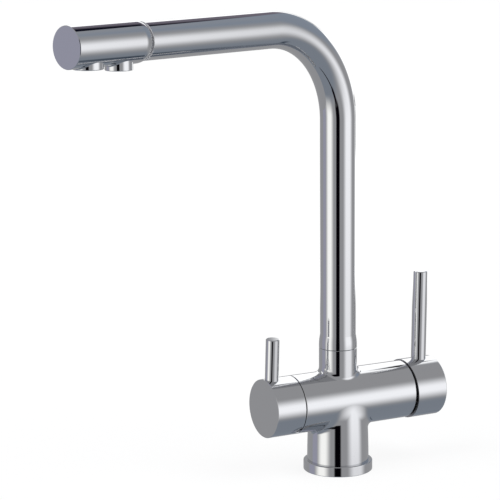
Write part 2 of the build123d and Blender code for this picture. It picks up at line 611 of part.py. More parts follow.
def mixer_handle_cap():
    """Mixer handle, a little wider than the barrel so that its rim swings over the barrel's end."""
    cap = handle_cap(
        mixer_handle_radius, MIXER_HANDLE_WALL, MIXER_RIM_TOP, MIXER_RIM_BOTTOM, MIXER_HANDLE_END,
        MIXER_END_WALL, MIXER_HUB_RADIUS, mixer_hub_start, mixer_stem_end + AXIAL_PLAY,
        MIXER_LEVER_PLACE, MIXER_LEVER_DIAMETER / 2, mixer_screw_place,
    )
    return MIXER * round_edges(cap, MIXER_END_ROUND, MIXER_HANDLE_END)


def filter_handle_cap():
    """Filtered water handle, flush with the barrel."""
    cap = handle_cap(
        barrel_radius, FILTER_HANDLE_WALL, filter_handle_start, filter_handle_start,
        FILTER_HANDLE_END, FILTER_END_WALL, FILTER_HUB_RADIUS, filter_hub_start,
        SPINDLE_END + AXIAL_PLAY, FILTER_LEVER_PLACE, FILTER_LEVER_DIAMETER / 2, filter_screw_place,
    )
    return FILTER * bevel_edge(cap, FILTER_END_CHAMFER, FILTER_HANDLE_END)


# ---------------------------------------------------------------- filtered water valve
def two_ports(start, end):
    """The lower feed port and the upper outlet port of the valve, as cutters."""
    ports = [Pos(side * VALVE_PORT_OFFSET, 0) * rod(VALVE_PORT_RADIUS, start, end) for side in (-1, 1)]
    return ports[0] + ports[1]


def valve_body():
    """Brass headwork with its hexagon, screwed into the left end of the barrel."""
    hexagon = extrude(RegularPolygon(VALVE_HEXAGON / 2, 6, major_radius=False), VALVE_HEXAGON_LENGTH)
    hexagon_end = VALVE_SHOULDER + VALVE_HEXAGON_LENGTH
    valve = rod(VALVE_BODY_RADIUS, VALVE_SEAT, VALVE_SHOULDER)
    valve += Pos(0, 0, VALVE_SHOULDER) * hexagon
    valve += rod(VALVE_NECK_RADIUS, hexagon_end, valve_neck_end)
    valve -= rod(VALVE_CAVITY_RADIUS, VALVE_SEAT, valve_cavity_end)
    valve -= rod(SPINDLE_RADIUS + RUNNING_FIT, valve_cavity_end, valve_neck_end)
    return FILTER_SIDE * valve


def valve_seal():
    """Two-hole rubber seal between the seat and the fixed disc of the valve."""
    seal = rod(valve_disc_radius, VALVE_SEAT, valve_disc_start)
    return FILTER_SIDE * (seal - two_ports(VALVE_SEAT, valve_disc_start))


def valve_fixed_disc():
    """Fixed ceramic disc of the filtered water valve."""
    disc = rod(valve_disc_radius, valve_disc_start, valve_disc_start + VALVE_DISC_THICKNESS)
    return FILTER_SIDE * (disc - two_ports(valve_disc_start, valve_disc_start + VALVE_DISC_THICKNESS))


def valve_turning_disc():
    """Turning ceramic disc: its channel joins the two ports after a quarter turn."""
    disc = rod(valve_disc_radius, turning_disc_start, spindle_start)
    channel = Box(
        2 * VALVE_PORT_RADIUS, 2 * (VALVE_PORT_OFFSET + VALVE_PORT_RADIUS), VALVE_DISC_THICKNESS / 2,
        align=BOTTOM,
    )
    return FILTER * (disc - Pos(0, 0, turning_disc_start) * channel)


def valve_spindle():
    """Brass spindle: a head that turns the disc and a shank with an O-ring groove."""
    head_end = valve_cavity_end - AXIAL_PLAY
    spindle = rod(valve_disc_radius, spindle_start, head_end) + rod(SPINDLE_RADIUS, head_end, SPINDLE_END)
    groove_floor = spindle_ring_radius - SPINDLE_RING_SECTION / 2 - SEATED_FIT
    groove_half = SPINDLE_RING_SECTION / 2 + O_RING_SIDE_GAP
    spindle -= sleeve(
        SPINDLE_RADIUS + 1, groove_floor, spindle_ring_place - groove_half, spindle_ring_place + groove_half
    )
    return FILTER * spindle


def valve_spindle_ring():
    """O-ring of the spindle."""
    return FILTER * o_ring(spindle_ring_radius, SPINDLE_RING_SECTION / 2, spindle_ring_place)


def filter_glide_ring():
    """Dark acetal ring between the barrel and the filter handle."""
    start = BARREL_LEFT_REACH - GLIDE_RING_DEPTH
    end = filter_handle_start - AXIAL_PLAY
    return FILTER_SIDE * sleeve(glide_outer_radius, glide_inner_radius, start, end)


# ---------------------------------------------------------------- spout
def bent_tube(radius, wall, start_height, reach):
    """Tube along the spout's centre line, made of its three runs."""
    bend_start = SPOUT_ARM_HEIGHT - SPOUT_BEND_RADIUS
    ring = Circle(radius) - Circle(radius - wall)
    rise = Pos(0, 0, start_height) * extrude(ring, bend_start - start_height)
    pivot = Axis((-SPOUT_BEND_RADIUS, 0, bend_start), (0, -1, 0))
    bend = revolve(Pos(0, 0, bend_start) * ring, pivot, revolution_arc=90)
    arm = Pos(-SPOUT_BEND_RADIUS, 0, SPOUT_ARM_HEIGHT) * Rot(0, -90, 0) * extrude(
        ring, reach - SPOUT_BEND_RADIUS
    )
    return SPOUT * (rise + bend + arm)


def spout_tube():
    """Polished outer tube of the spout."""
    return bent_tube(tube_radius, SPOUT_TUBE_WALL, foot_top_height, SPOUT_TUBE_REACH)


def filtered_water_tube():
    """Slim inner tube that keeps the filtered water apart as far as its own outlet."""
    return bent_tube(FILTER_TUBE_RADIUS, FILTER_TUBE_WALL, filter_tube_start, filter_tube_reach)


def spout_foot():
    """Turned foot that swells from the tube to the riser and takes the swivel nipple."""
    flare_start = spout_start_height + SPOUT_FOOT_STRAIGHT
    nipple_top = spout_start_height + NIPPLE_ENGAGEMENT
    spigot_top = foot_top_height + FOOT_SPIGOT_HEIGHT
    spigot_radius = tube_bore_radius - SEATED_FIT
    flare = TangentArc((riser_radius, flare_start), (tube_radius, foot_top_height), tangent=(0, 1))
    rest = Polyline(
        (tube_radius, foot_top_height), (spigot_radius, foot_top_height),
        (spigot_radius, spigot_top), (NIPPLE_BORE_RADIUS, spigot_top),
        (NIPPLE_BORE_RADIUS, nipple_top), (SOCKET_RADIUS, nipple_top),
        (SOCKET_RADIUS, spout_start_height), (riser_radius, spout_start_height),
        (riser_radius, flare_start),
    )
    return SPOUT * revolve(Plane.XZ * make_face(flare + rest), Axis.Z)


def swivel_nipple():
    """Brass nipple that turns in the riser, with two O-ring grooves and a retaining groove."""
    nipple_top = spout_start_height + NIPPLE_ENGAGEMENT
    nipple = sleeve(nipple_radius, NIPPLE_BORE_RADIUS, nipple_start, nipple_top)
    groove_floor = nipple_ring_radius - O_RING_SECTION / 2 - SEATED_FIT
    groove_half = O_RING_SECTION / 2 + O_RING_SIDE_GAP
    for height in nipple_grooves:
        nipple -= sleeve(SOCKET_RADIUS + 1, groove_floor, height - groove_half, height + groove_half)
    nipple -= sleeve(
        SOCKET_RADIUS + 1, retaining_floor_radius,
        retaining_height - retaining_half, retaining_height + retaining_half,
    )
    return SPOUT * nipple


def nipple_o_rings():
    """Two O-rings on the nipple."""
    return Compound([o_ring(nipple_ring_radius, O_RING_SECTION / 2, height) for height in nipple_grooves])


def spout_slip_washer():
    """Dark acetal washer that the foot of the spout turns on."""
    start = RISER_TOP_HEIGHT - SLIP_WASHER_SUNK
    return sleeve(SLIP_WASHER_RADIUS, SOCKET_RADIUS, start, spout_start_height - AXIAL_PLAY)


def spout_retaining_screw():
    """Set screw in the back of the riser whose tip keeps the nipple in its socket."""
    thread_start = SOCKET_RADIUS + AXIAL_PLAY
    screw = set_screw(thread_start, riser_radius - RETAINING_SCREW_SUNK - thread_start)
    screw += rod(RETAINING_TIP_RADIUS, retaining_floor_radius + RETAINING_TIP_GAP, thread_start + SEATED_FIT)
    return RETAINING * screw


# ---------------------------------------------------------------- head of the spout
def outlet_frame(place):
    """Frame at a place along the arm whose z axis points down from the arm's axis."""
    return Pos(0, 0, place) * Rot(0, -90, 0)


def head_shell():
    """Polished head: rounded shoulder, plain barrel and two round outlets blended into it."""
    shell_end = head_end - END_CAP_THICKNESS
    shoulder_end = SPOUT_TUBE_REACH + HEAD_SHOULDER_LENGTH
    shoulder = TangentArc(
        (head_radius, shoulder_end), (HEAD_NECK_RADIUS, SPOUT_TUBE_REACH), tangent=(0, -1)
    )
    rest = Polyline(
        (HEAD_NECK_RADIUS, SPOUT_TUBE_REACH), (0, SPOUT_TUBE_REACH), (0, shell_end),
        (head_radius, shell_end), (head_radius, shoulder_end),
    )
    shell = revolve(Plane.XZ * make_face(shoulder + rest), Axis.Z)
    for place, radius, drop in outlets:
        nozzle = outlet_frame(place) * bevel_edge(rod(radius, 0, drop), OUTLET_RIM_CHAMFER, drop)
        joined = shell + nozzle
        shell = fillet(new_edges(shell, nozzle, combined=joined), OUTLET_BLEND)
    shell += rod(HEAD_SPIGOT_RADIUS, SPOUT_TUBE_REACH - HEAD_SPIGOT_LENGTH, SPOUT_TUBE_REACH)
    shell -= rod(HEAD_NECK_BORE, SPOUT_TUBE_REACH - HEAD_SPIGOT_LENGTH, head_cavity_start)
    shell -= rod(head_cavity_radius, head_cavity_start, shell_end)
    for place, radius, drop in outlets:
        shell -= outlet_frame(place) * rod(radius - OUTLET_WALL, 0, drop)
    return ARM * shell


def head_end_cap():
    """Flat end of the head, pressed into its bore."""
    start = head_end - END_CAP_THICKNESS
    cap = bevel_edge(rod(head_radius, start, head_end), END_CAP_CHAMFER, head_end)
    cap += rod(head_cavity_radius - SEATED_FIT, start - END_CAP_SPIGOT, start)
    return ARM * cap


def tube_end_ring():
    """Ring soldered into the cut end of the tube, which takes the neck of the head."""
    start = SPOUT_TUBE_REACH - TUBE_RING_LENGTH
    ring = sleeve(tube_bore_radius - SEATED_FIT, HEAD_SPIGOT_RADIUS + SEATED_FIT, start, SPOUT_TUBE_REACH)
    return ARM * ring


def aerator_housing(place, radius, drop):
    """Threaded ring that holds an aerator in its outlet."""
    outer_radius = radius - OUTLET_WALL - SEATED_FIT
    ring = sleeve(outer_radius, outer_radius - AERATOR_HOUSING_WALL, drop - AERATOR_LENGTH, drop)
    return ARM * outlet_frame(place) * ring


def aerator_core(place, radius, drop, rings):
    """Moulded insert with rings of round holes about a middle one."""
    core_radius = radius - OUTLET_WALL - AERATOR_HOUSING_WALL - 2 * SEATED_FIT
    start = drop - AERATOR_LENGTH
    end = drop - AERATOR_RECESS
    core = rod(core_radius, start, end)
    holes = rod(AERATOR_GRID_HOLE_RADIUS, start, end)
    pitch = (core_radius - AERATOR_GRID_HOLE_RADIUS) / (rings + 0.4)
    for ring in range(1, rings + 1):
        holes += PolarLocations(ring * pitch, 6 * ring) * rod(AERATOR_GRID_HOLE_RADIUS, start, end)
    return ARM * outlet_frame(place) * (core - holes)


def aerator_seal(place, radius, drop):
    """Rubber washer behind an aerator."""
    outer_radius = radius - OUTLET_WALL - SEATED_FIT
    end = drop - AERATOR_LENGTH
    washer = sleeve(outer_radius, outer_radius - AERATOR_HOUSING_WALL, end - AERATOR_SEAL_THICKNESS, end)
    return ARM * outlet_frame(place) * washer


def filtered_water_elbow():
    """Elbow inside the head that leads the inner tube to the filtered water outlet."""
    place, radius, drop = outlets[1]
    elbow_radius = radius - OUTLET_WALL - SEATED_FIT
    bottom = drop - AERATOR_LENGTH - AERATOR_SEAL_THICKNESS
    elbow = outlet_frame(place) * rod(elbow_radius, -ELBOW_TOP, bottom)
    elbow += rod(ELBOW_ARM_RADIUS, place - ELBOW_ARM_LENGTH, place)
    elbow -= outlet_frame(place) * rod(elbow_radius - ELBOW_WALL, -ELBOW_TOP + ELBOW_WALL, bottom)
    elbow -= rod(FILTER_TUBE_RADIUS + SEATED_FIT, place - ELBOW_ARM_LENGTH, place)
    return ARM * elbow


# ---------------------------------------------------------------- write the pieces
mixed_outlet = outlets[0]
filtered_outlet = outlets[1]
pieces = {
    "body_casting": body_casting(),
    "inlet_block": inlet_block(),
    "base_flange": base_flange(),
    "base_gasket": base_gasket(),
    "cartridge_housing": cartridge_housing(),
    "cartridge_port_seals": cartridge_port_seals(),
    "fixed_ceramic_disc": fixed_ceramic_disc(),
    "cartridge_lock_nut": cartridge_lock_nut(),
    "dome_cover": dome_cover(),
    "sliding_ceramic_disc": sliding_ceramic_disc(),
    "disc_holder": disc_holder(),
    "mixer_carrier": mixer_carrier(),
    "mixer_pivot_pin": mixer_pivot_pin(),
    "mixer_stem": mixer_stem(),
    "mixer_handle_cap": mixer_handle_cap(),
    "mixer_lever": MIXER * lever(
        mixer_handle_radius, MIXER_LEVER_DIAMETER / 2, MIXER_LEVER_TOP, MIXER_LEVER_PLACE
    ),
    "mixer_set_screw": MIXER * handle_set_screw(mixer_screw_place),
    "valve_body": valve_body(),
    "valve_seal": valve_seal(),
    "valve_fixed_disc": valve_fixed_disc(),
    "filter_glide_ring": filter_glide_ring(),
    "valve_turning_disc": valve_turning_disc(),
    "valve_spindle": valve_spindle(),
    "valve_spindle_ring": valve_spindle_ring(),
    "filter_handle_cap": filter_handle_cap(),
    "filter_lever": FILTER * lever(
        barrel_radius, FILTER_LEVER_DIAMETER / 2, FILTER_LEVER_TOP, FILTER_LEVER_PLACE
    ),
    "filter_set_screw": FILTER * handle_set_screw(filter_screw_place),
    "spout_slip_washer": spout_slip_washer(),
    "spout_retaining_screw": spout_retaining_screw(),
    "spout_tube": spout_tube(),
    "spout_foot": spout_foot(),
    "swivel_nipple": swivel_nipple(),
    "nipple_o_rings": nipple_o_rings(),
    "filtered_water_tube": filtered_water_tube(),
    "tube_end_ring": tube_end_ring(),
    "head_shell": head_shell(),
    "head_end_cap": head_end_cap(),
    "filtered_water_elbow": filtered_water_elbow(),
    "mixed_aerator_housing": aerator_housing(*mixed_outlet),
    "mixed_aerator_core": aerator_core(*mixed_outlet, 2),
    "filtered_aerator_housing": aerator_housing(*filtered_outlet),
    "filtered_aerator_core": aerator_core(*filtered_outlet, 1),
    "aerator_seals": Compound([aerator_seal(*outlet) for outlet in outlets]),
}

os.makedirs("parts", exist_ok=True)
for name, piece in pieces.items():
    export_step(piece, f"parts/{name}.step")
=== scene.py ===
"""Three way kitchen tap in polished chrome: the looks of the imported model.

The visible chrome pieces are surfaces worked out from the tap's real sizes, in millimetres, with
exact normals, so that reflections run smoothly over cylinders, bends and cast blends. Inner
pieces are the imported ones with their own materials.

The frame is the model's: +Z up along the spout's swivel axis, +X along the barrel to the mixer
lever, -Y towards the user, origin on the worktop.
"""

import json
from math import asin, cos, degrees, hypot, radians, sin, tan

import bpy
import numpy as np
from mathutils import Matrix, Vector


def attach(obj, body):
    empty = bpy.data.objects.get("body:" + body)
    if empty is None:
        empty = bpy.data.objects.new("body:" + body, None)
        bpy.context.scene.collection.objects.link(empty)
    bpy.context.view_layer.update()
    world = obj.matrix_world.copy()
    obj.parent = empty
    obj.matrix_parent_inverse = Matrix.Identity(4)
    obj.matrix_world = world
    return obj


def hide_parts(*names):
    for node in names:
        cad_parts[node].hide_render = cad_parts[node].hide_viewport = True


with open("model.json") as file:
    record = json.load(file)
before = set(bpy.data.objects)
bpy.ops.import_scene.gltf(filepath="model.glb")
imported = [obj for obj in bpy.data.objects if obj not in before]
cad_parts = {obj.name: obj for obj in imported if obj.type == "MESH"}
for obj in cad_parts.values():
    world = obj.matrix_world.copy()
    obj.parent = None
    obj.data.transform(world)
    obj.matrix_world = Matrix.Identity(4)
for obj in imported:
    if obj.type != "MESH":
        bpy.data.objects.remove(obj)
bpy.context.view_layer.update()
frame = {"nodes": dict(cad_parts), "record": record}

MM = 0.001

# ---------------------------------------------------------------- sizes of the tap, millimetres
FLANGE_RADIUS = 25.0
FLANGE_HEIGHT = 7.3
FLANGE_EDGE_ROUND = 0.8
FOOT_CHAMFER = 0.4
GASKET_RADIUS = 23.5
GASKET_WIDTH = 3.0
GASKET_THICKNESS = 1.6
BLOCK_RADIUS = 18.0
BLOCK_STUB_RADIUS = 17.0
BLOCK_HEIGHT = 15.0
FIT = 0.05

COLUMN_FOOT_RADIUS = 22.3
COLUMN_TOP_RADIUS = 20.7
COLUMN_BOW = 0.35
COLUMN_BLEND = 4.0
COLUMN_BUFFING = 0.3        # the smaller, the wider the blend that buffing wore in front
BARREL_RADIUS = 21.0
BARREL_HEIGHT = 52.5
BARREL_LEFT = 38.3
BARREL_RIGHT = 54.7
BARREL_END_ROUND = 1.0
BARREL_EDGE_CHAMFER = 0.3
RISER_RADIUS = 13.65
RISER_TOP = 90.2
RISER_BLEND = 4.0
RISER_EDGE_CHAMFER = 0.25
WASHER_RECESS_RADIUS = 12.65
WASHER_RECESS_DEPTH = 1.0
NUT_BORE_RADIUS = 16.75
NUT_BORE_DEPTH = 8.2
GLIDE_GROOVE_OUTER = 20.25
GLIDE_GROOVE_INNER = 17.95
GLIDE_GROOVE_DEPTH = 1.0
VALVE_RECESS_RADIUS = 15.0
VALVE_RECESS_DEPTH = 6.3
RETAINING_HEIGHT = 82.0
RETAINING_HOLE_RADIUS = 2.05
RETAINING_HOLE_DEPTH = 3.0
RETAINING_BAND = 3.5        # how far the riser's pierced band reaches above and below the hole

DOME_RADIUS = 21.0
DOME_WALL = 1.5
DOME_MOUTH_RADIUS = 11.5
DOME_SKIRT_RADIUS = 16.7
DOME_START = 50.0
PIVOT_PLACE = 42.0

MIXER_RADIUS = 21.75
MIXER_WALL = 2.0
MIXER_END = 80.7
MIXER_END_WALL = 4.0
MIXER_END_ROUND = 0.7
MIXER_RIM_TOP = 55.1
MIXER_RIM_BOTTOM = 57.3
MIXER_HUB_RADIUS = 7.0
MIXER_HUB_START = 64.0
MIXER_SCREW_PLACE = 67.5
MIXER_LEVER_PLACE = 69.2
MIXER_LEVER_RADIUS = 5.4
MIXER_LEVER_TOP = 87.3
MIXER_LEAN = 1.6

FILTER_RADIUS = 21.0
FILTER_WALL = 2.5
FILTER_START = 39.2
FILTER_END = 61.9
FILTER_END_WALL = 4.0
FILTER_END_CHAMFER = 0.3
FILTER_HUB_RADIUS = 7.5
FILTER_HUB_START = 40.0
FILTER_SCREW_PLACE = 43.0
FILTER_LEVER_PLACE = 55.9
FILTER_LEVER_RADIUS = 4.85
FILTER_LEVER_TOP = 50.7
FILTER_LEAN = 3.2

STEM_RADIUS = 4.05
LEVER_CHAMFER = 0.5
LEVER_SEAT_DEPTH = 1.6
STEM_BORE_FLOOR = 2.0       # metal between the stem's bore and the hollow end of a handle
SCREW_HOLE_RADIUS = 2.3
SCREW_BAND = (3.3, 3.5)     # how far a pierced band reaches towards the rim and towards the end

SPOUT_TUBE_RADIUS = 12.8
SPOUT_TUBE_WALL = 1.2
SPOUT_START = 90.5
SPOUT_FOOT_HEIGHT = 9.4
SPOUT_FOOT_STRAIGHT = 1.6
SPOUT_FOOT_SPIGOT = 6.0
SOCKET_RADIUS = 10.0
ARM_HEIGHT = 322.5
BEND_RADIUS = 67.8
ARM_REACH = 180.2
TUBE_LAP = 2.5              # how far the tube's end reaches over the neck of the head
SPOUT_TURN = 14.2

HEAD_RADIUS = 14.0
HEAD_LENGTH = 65.0
HEAD_NECK_RADIUS = 9.0
HEAD_SHOULDER = 10.0
HEAD_CAP_THICKNESS = 2.0
HEAD_CAP_CHAMFER = 0.3
OUTLET_BLEND = 0.8
OUTLET_CHAMFER = 0.4
OUTLET_WALL = 1.5
AERATOR_LENGTH = 7.0
AERATOR_WALL = 1.4
# each outlet: distance from the flat end of the head, radius, drop from the arm's axis to its rim
MIXED_OUTLET = (17.3, 10.1, 14.9)
FILTERED_OUTLET = (42.8, 9.2, 17.3)

# ---------------------------------------------------------------- grids
SIDE_STEPS = 64             # steps along each side of a window round a branch
AROUND = 4 * SIDE_STEPS     # steps round a branch, and round what joins it
ROUND = np.linspace(0, 2 * np.pi, AROUND + 1)
BLEND_STEPS = 14            # steps across a cast blend
HOLE_WINDOW = 8             # columns of a pierced band on each side of its hole's middle
STRAIGHT = 1e5              # bow radius of a branch that is a plain cylinder
BISECTIONS = 60             # halvings that find the centre of a blend's ball
DECIMALS = 3                # points that are equal to these decimals of a millimetre are one
ROUNDING_SHIFT = 0.000217   # keeps round numbers away from the edges of the rounding


# ---------------------------------------------------------------- meshes from grids
def unit(vectors):
    """Vectors divided by their lengths."""
    return vectors / np.linalg.norm(vectors, axis=-1, keepdims=True)


class Place:
    """A local frame: origin and three axes, all in the tap's frame, in millimetres."""

    def __init__(self, origin, x_axis, y_axis, z_axis):
        self.origin = np.array(origin, float)
        self.axes = np.array([x_axis, y_axis, z_axis], float)

    def patch(self, points, normals):
        """Grid of local points and normals carried into the tap's frame."""
        return points @ self.axes + self.origin, normals @ self.axes

    def leaning(self, angle):
        """The same frame turned about its own z axis, by degrees."""
        c, s = cos(radians(angle)), sin(radians(angle))
        x_axis, y_axis, z_axis = self.axes
        return Place(self.origin, c * x_axis + s * y_axis, c * y_axis - s * x_axis, z_axis)


UPRIGHT = Place((0, 0, 0), (1, 0, 0), (0, 1, 0), (0, 0, 1))
BARREL = Place((0, 0, BARREL_HEIGHT), (0, 0, 1), (0, -1, 0), (1, 0, 0))
FILTER_SIDE = Place((0, 0, BARREL_HEIGHT), (0, 0, 1), (0, 1, 0), (-1, 0, 0))
MIXER = BARREL.leaning(MIXER_LEAN)
FILTER = FILTER_SIDE.leaning(-FILTER_LEAN)
arm_turn = radians(SPOUT_TURN)
ARM = Place((0, 0, ARM_HEIGHT), (0, 0, 1), (-sin(arm_turn), cos(arm_turn), 0),
            (-cos(arm_turn), -sin(arm_turn), 0))


def crossing(place, along, x_axis, z_axis):
    """Frame of a branch at a distance along a frame's z axis; both axes are given locally."""
    x_axis = np.array(x_axis, float) @ place.axes
    z_axis = np.array(z_axis, float) @ place.axes
    return Place(place.origin + along * place.axes[2], x_axis, np.cross(z_axis, x_axis), z_axis)


def make_piece(name, patches, body, replaced, inside=(), inner_finish=None):
    """Makes a piece of grids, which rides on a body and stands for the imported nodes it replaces.

    Each patch is (points, normals), rows x columns x 3 in millimetres. A cell of the grid gives
    two triangles, turned so that they face along the normals. Points that coincide become one
    vertex, so that neighbouring patches share their border, and each corner keeps the normal of
    its own patch, which leaves tangent joints smooth and edges crisp. Patches listed as inside
    get the dull plating, or another inner finish.
    """
    corners, corner_normals, slots = [], [], []
    for slot, group in enumerate((patches, inside)):
        for points, normals in group:
            cells = [a[i:a.shape[0] - 1 + i, j:a.shape[1] - 1 + j]
                     for a in (points, normals) for i, j in ((0, 0), (0, 1), (1, 1), (1, 0))]
            p, n = cells[:4], cells[4:]
            for order in ((0, 1, 2), (0, 2, 3)):
                corners.append(np.stack([p[k] for k in order], 2).reshape(-1, 3, 3))
                corner_normals.append(np.stack([n[k] for k in order], 2).reshape(-1, 3, 3))
                slots.append(np.full(len(corners[-1]), slot))
    corners, corner_normals, slots = map(np.concatenate, (corners, corner_normals, slots))
    keys = np.round(corners.reshape(-1, 3) + ROUNDING_SHIFT, DECIMALS)
    _, first, index = np.unique(keys, axis=0, return_index=True, return_inverse=True)
    vertices = corners.reshape(-1, 3)[first]
    triangles = index.reshape(-1, 3)
    whole = ((triangles[:, 0] != triangles[:, 1]) & (triangles[:, 1] != triangles[:, 2])
             & (triangles[:, 2] != triangles[:, 0]))
    triangles, corner_normals, slots = triangles[whole], corner_normals[whole], slots[whole]
    a, b, c = (vertices[triangles[:, k]] for k in range(3))
    inward = np.einsum("ij,ij->i", np.cross(b - a, c - a), corner_normals.sum(1)) < 0
    triangles[inward] = triangles[inward][:, ::-1]
    corner_normals[inward] = corner_normals[inward][:, ::-1]

    mesh = bpy.data.meshes.new(name)
    mesh.vertices.add(len(vertices))
    mesh.vertices.foreach_set("co", (vertices * MM).ravel().astype(np.float32))
    mesh.loops.add(triangles.size)
    mesh.loops.foreach_set("vertex_index", triangles.ravel().astype(np.int32))
    mesh.polygons.add(len(triangles))
    mesh.polygons.foreach_set("loop_start", np.arange(0, triangles.size, 3, dtype=np.int32))
    mesh.polygons.foreach_set("material_index", slots.astype(np.int32))
    mesh.polygons.foreach_set("use_smooth", np.ones(len(triangles), bool))
    mesh.update(calc_edges=True)
    mesh.validate()
    mesh.normals_split_custom_set(unit(corner_normals.reshape(-1, 3)).tolist())
    mesh.materials.append(CHROME)
    if len(inside):
        mesh.materials.append(inner_finish or DULL_PLATING)
    obj = bpy.data.objects.new(name, mesh)
    bpy.context.scene.collection.objects.link(obj)
    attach(obj, body)
    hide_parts(*replaced)


# ---------------------------------------------------------------- outlines and turned surfaces
def line(start, end, steps=1):
    """Straight stretch of an outline with its normal on the right of the direction of travel."""
    start, end = np.array(start, float), np.array(end, float)
    t = np.linspace(0, 1, steps + 1)[:, None]
    along = (end - start) / hypot(*(end - start))
    normal = np.array([along[1], -along[0]])
    return start + (end - start) * t, np.tile(normal, (steps + 1, 1))


def arc(centre, radius, start, end, steps=12, hollow=False):
    """Stretch of a circle between two angles in degrees; a hollow one faces its centre."""
    angles = np.radians(np.linspace(start, end, steps + 1))
    directions = np.stack([np.cos(angles), np.sin(angles)], 1)
    return np.array(centre, float) + radius * directions, -directions if hollow else directions


def path_of(*corners):
    """Straight stretches through corners, each with its own crisp normal."""
    return [line(a, b) for a, b in zip(corners, corners[1:])]


def turned(place, outline, columns=128):
    """Surfaces of revolution: point(angle, t) = (r(t) cos angle, r(t) sin angle, z(t))."""
    angles = np.linspace(0, 2 * np.pi, columns + 1)
    ring = np.stack([np.cos(angles), np.sin(angles)], 1)
    patches = []
    for points, normals in outline:
        grid = np.concatenate([points[:, None, :1] * ring, np.broadcast_to(
            points[:, None, 1:], (len(points), columns + 1, 1))], 2)
        facing = np.concatenate([normals[:, None, :1] * ring, np.broadcast_to(
            normals[:, None, 1:], (len(points), columns + 1, 1))], 2)
        patches.append(place.patch(grid, facing))
    return patches


def cylinder_patch(place, radius, angles, heights, hollow=False):
    """Part of a cylinder on grids of angles and heights: (r cos angle, r sin angle, height)."""
    directions = np.stack([np.cos(angles), np.sin(angles), np.zeros_like(angles)], -1)
    points = radius * directions
    points[..., 2] = heights
    return place.patch(points, -directions if hollow else directions)


# ---------------------------------------------------------------- branches blended into a cylinder
def bow_circle(low, middle, high):
    """Centre and radius of the circle through three (radius, height) points of a side."""
    (x1, y1), (x2, y2), (x3, y3) = low, middle, high
    rows = np.array([[x2 - x1, y2 - y1], [x3 - x1, y3 - y1]])
    sides = np.array([x2**2 - x1**2 + y2**2 - y1**2, x3**2 - x1**2 + y3**2 - y1**2]) / 2
    centre = np.linalg.solve(rows, sides)
    return centre[0], centre[1], hypot(x1 - centre[0], y1 - centre[1])


def plain_side(radius):
    """The same for a plain cylinder: a bow so wide that it is straight."""
    return radius - STRAIGHT, 0.0, STRAIGHT


def blend(main_radius, side, blend_radius, angles):
    """Cast blend between a cylinder on the x axis and a branch turned about the z axis.

    A ball of the blend's radius rolls in the corner. Its centre is the blend's radius away from
    both surfaces: it lies on the side's bow circle grown by that radius, and at main_radius plus
    that radius from the x axis, which a bisection finds for each angle round the branch. The
    blend is the arc that the ball sweeps between its two touching points. The radius may differ
    from angle to angle. Returns the ball's contact with the branch, the contact with the
    cylinder, and the surface.
    """
    bow_r, bow_z, bow_radius = side
    reach = main_radius + blend_radius + 0 * angles
    low, high = np.zeros_like(angles), reach
    for _ in range(BISECTIONS):
        z = (low + high) / 2
        r = bow_r + np.sqrt((bow_radius + blend_radius)**2 - (z - bow_z)**2)
        outside = (r * np.sin(angles))**2 + z**2 > reach**2
        high, low = np.where(outside, z, high), np.where(outside, low, z)
    centre = np.stack([r * np.cos(angles), r * np.sin(angles), z], 1)
    tilt = (z - bow_z) / (bow_radius + blend_radius)
    level = np.sqrt(1 - tilt**2)
    to_branch = -np.stack([level * np.cos(angles), level * np.sin(angles), tilt], 1)
    to_main = -centre * (0, 1, 1) / reach[:, None]
    swing = np.arccos(np.sum(to_branch * to_main, 1))[None, :, None]
    t = np.linspace(0, 1, BLEND_STEPS + 1)[:, None, None]
    towards = (np.sin((1 - t) * swing) * to_branch + np.sin(t * swing) * to_main) / np.sin(swing)
    ball = (blend_radius + 0 * angles)[:, None]
    surface = centre + ball * towards, -towards
    on_branch = centre + ball * to_branch
    on_main = centre + ball * to_main
    return on_branch, on_main, surface


def window(u_low, u_high, v_low, v_high, u_steps, v_steps):
    """Points round a rectangle, from the middle of its u_high side, towards v_high."""
    half = v_steps // 2
    v_mid = (v_low + v_high) / 2
    runs = (
        ((u_high, v_mid), (u_high, v_high), half), ((u_high, v_high), (u_low, v_high), u_steps),
        ((u_low, v_high), (u_low, v_low), v_steps), ((u_low, v_low), (u_high, v_low), u_steps),
        ((u_high, v_low), (u_high, v_mid), half),
    )
    loops = [np.linspace(start, end, steps + 1)[:-1] for start, end, steps in runs]
    return np.concatenate(loops + [[(u_high, v_mid)]])


def between(inner, outer, steps):
    """Straight lines from a closed inner curve to an outer one: inner + (outer - inner) t."""
    t = np.linspace(0, 1, steps + 1)[:, None, None]
    return inner + (outer - inner) * t


def branched_side(place, main_radius, side, blend_radius, limits, steps=20):
    """Half of a cylinder on the x axis with a branch on the z axis and the blend between them.

    point(x, angle) = (x, main_radius sin angle, main_radius cos angle), on a grid that runs from
    the blend's edge to a rectangle of x and angle. limits are the rectangle's ends along x. It
    reaches a quarter turn to each side of the branch, with SIDE_STEPS steps on each of its sides.
    Returns the patches and the blend's contact with the branch in the branch's own frame.
    """
    on_branch, on_main, surface = blend(main_radius, side, blend_radius, ROUND)
    hole = np.stack([on_main[:, 0], np.arctan2(on_main[:, 1], on_main[:, 2])], 1)
    border = window(limits[0], limits[1], -np.pi / 2, np.pi / 2, SIDE_STEPS, SIDE_STEPS)
    chart = between(hole, border, steps)
    along, angles = chart[..., 0], chart[..., 1]
    normals = np.stack([0 * along, np.sin(angles), np.cos(angles)], -1)
    points = main_radius * normals
    points[..., 0] = along
    patches = [place.patch(*surface), place.patch(points, normals)]
    return patches, on_branch


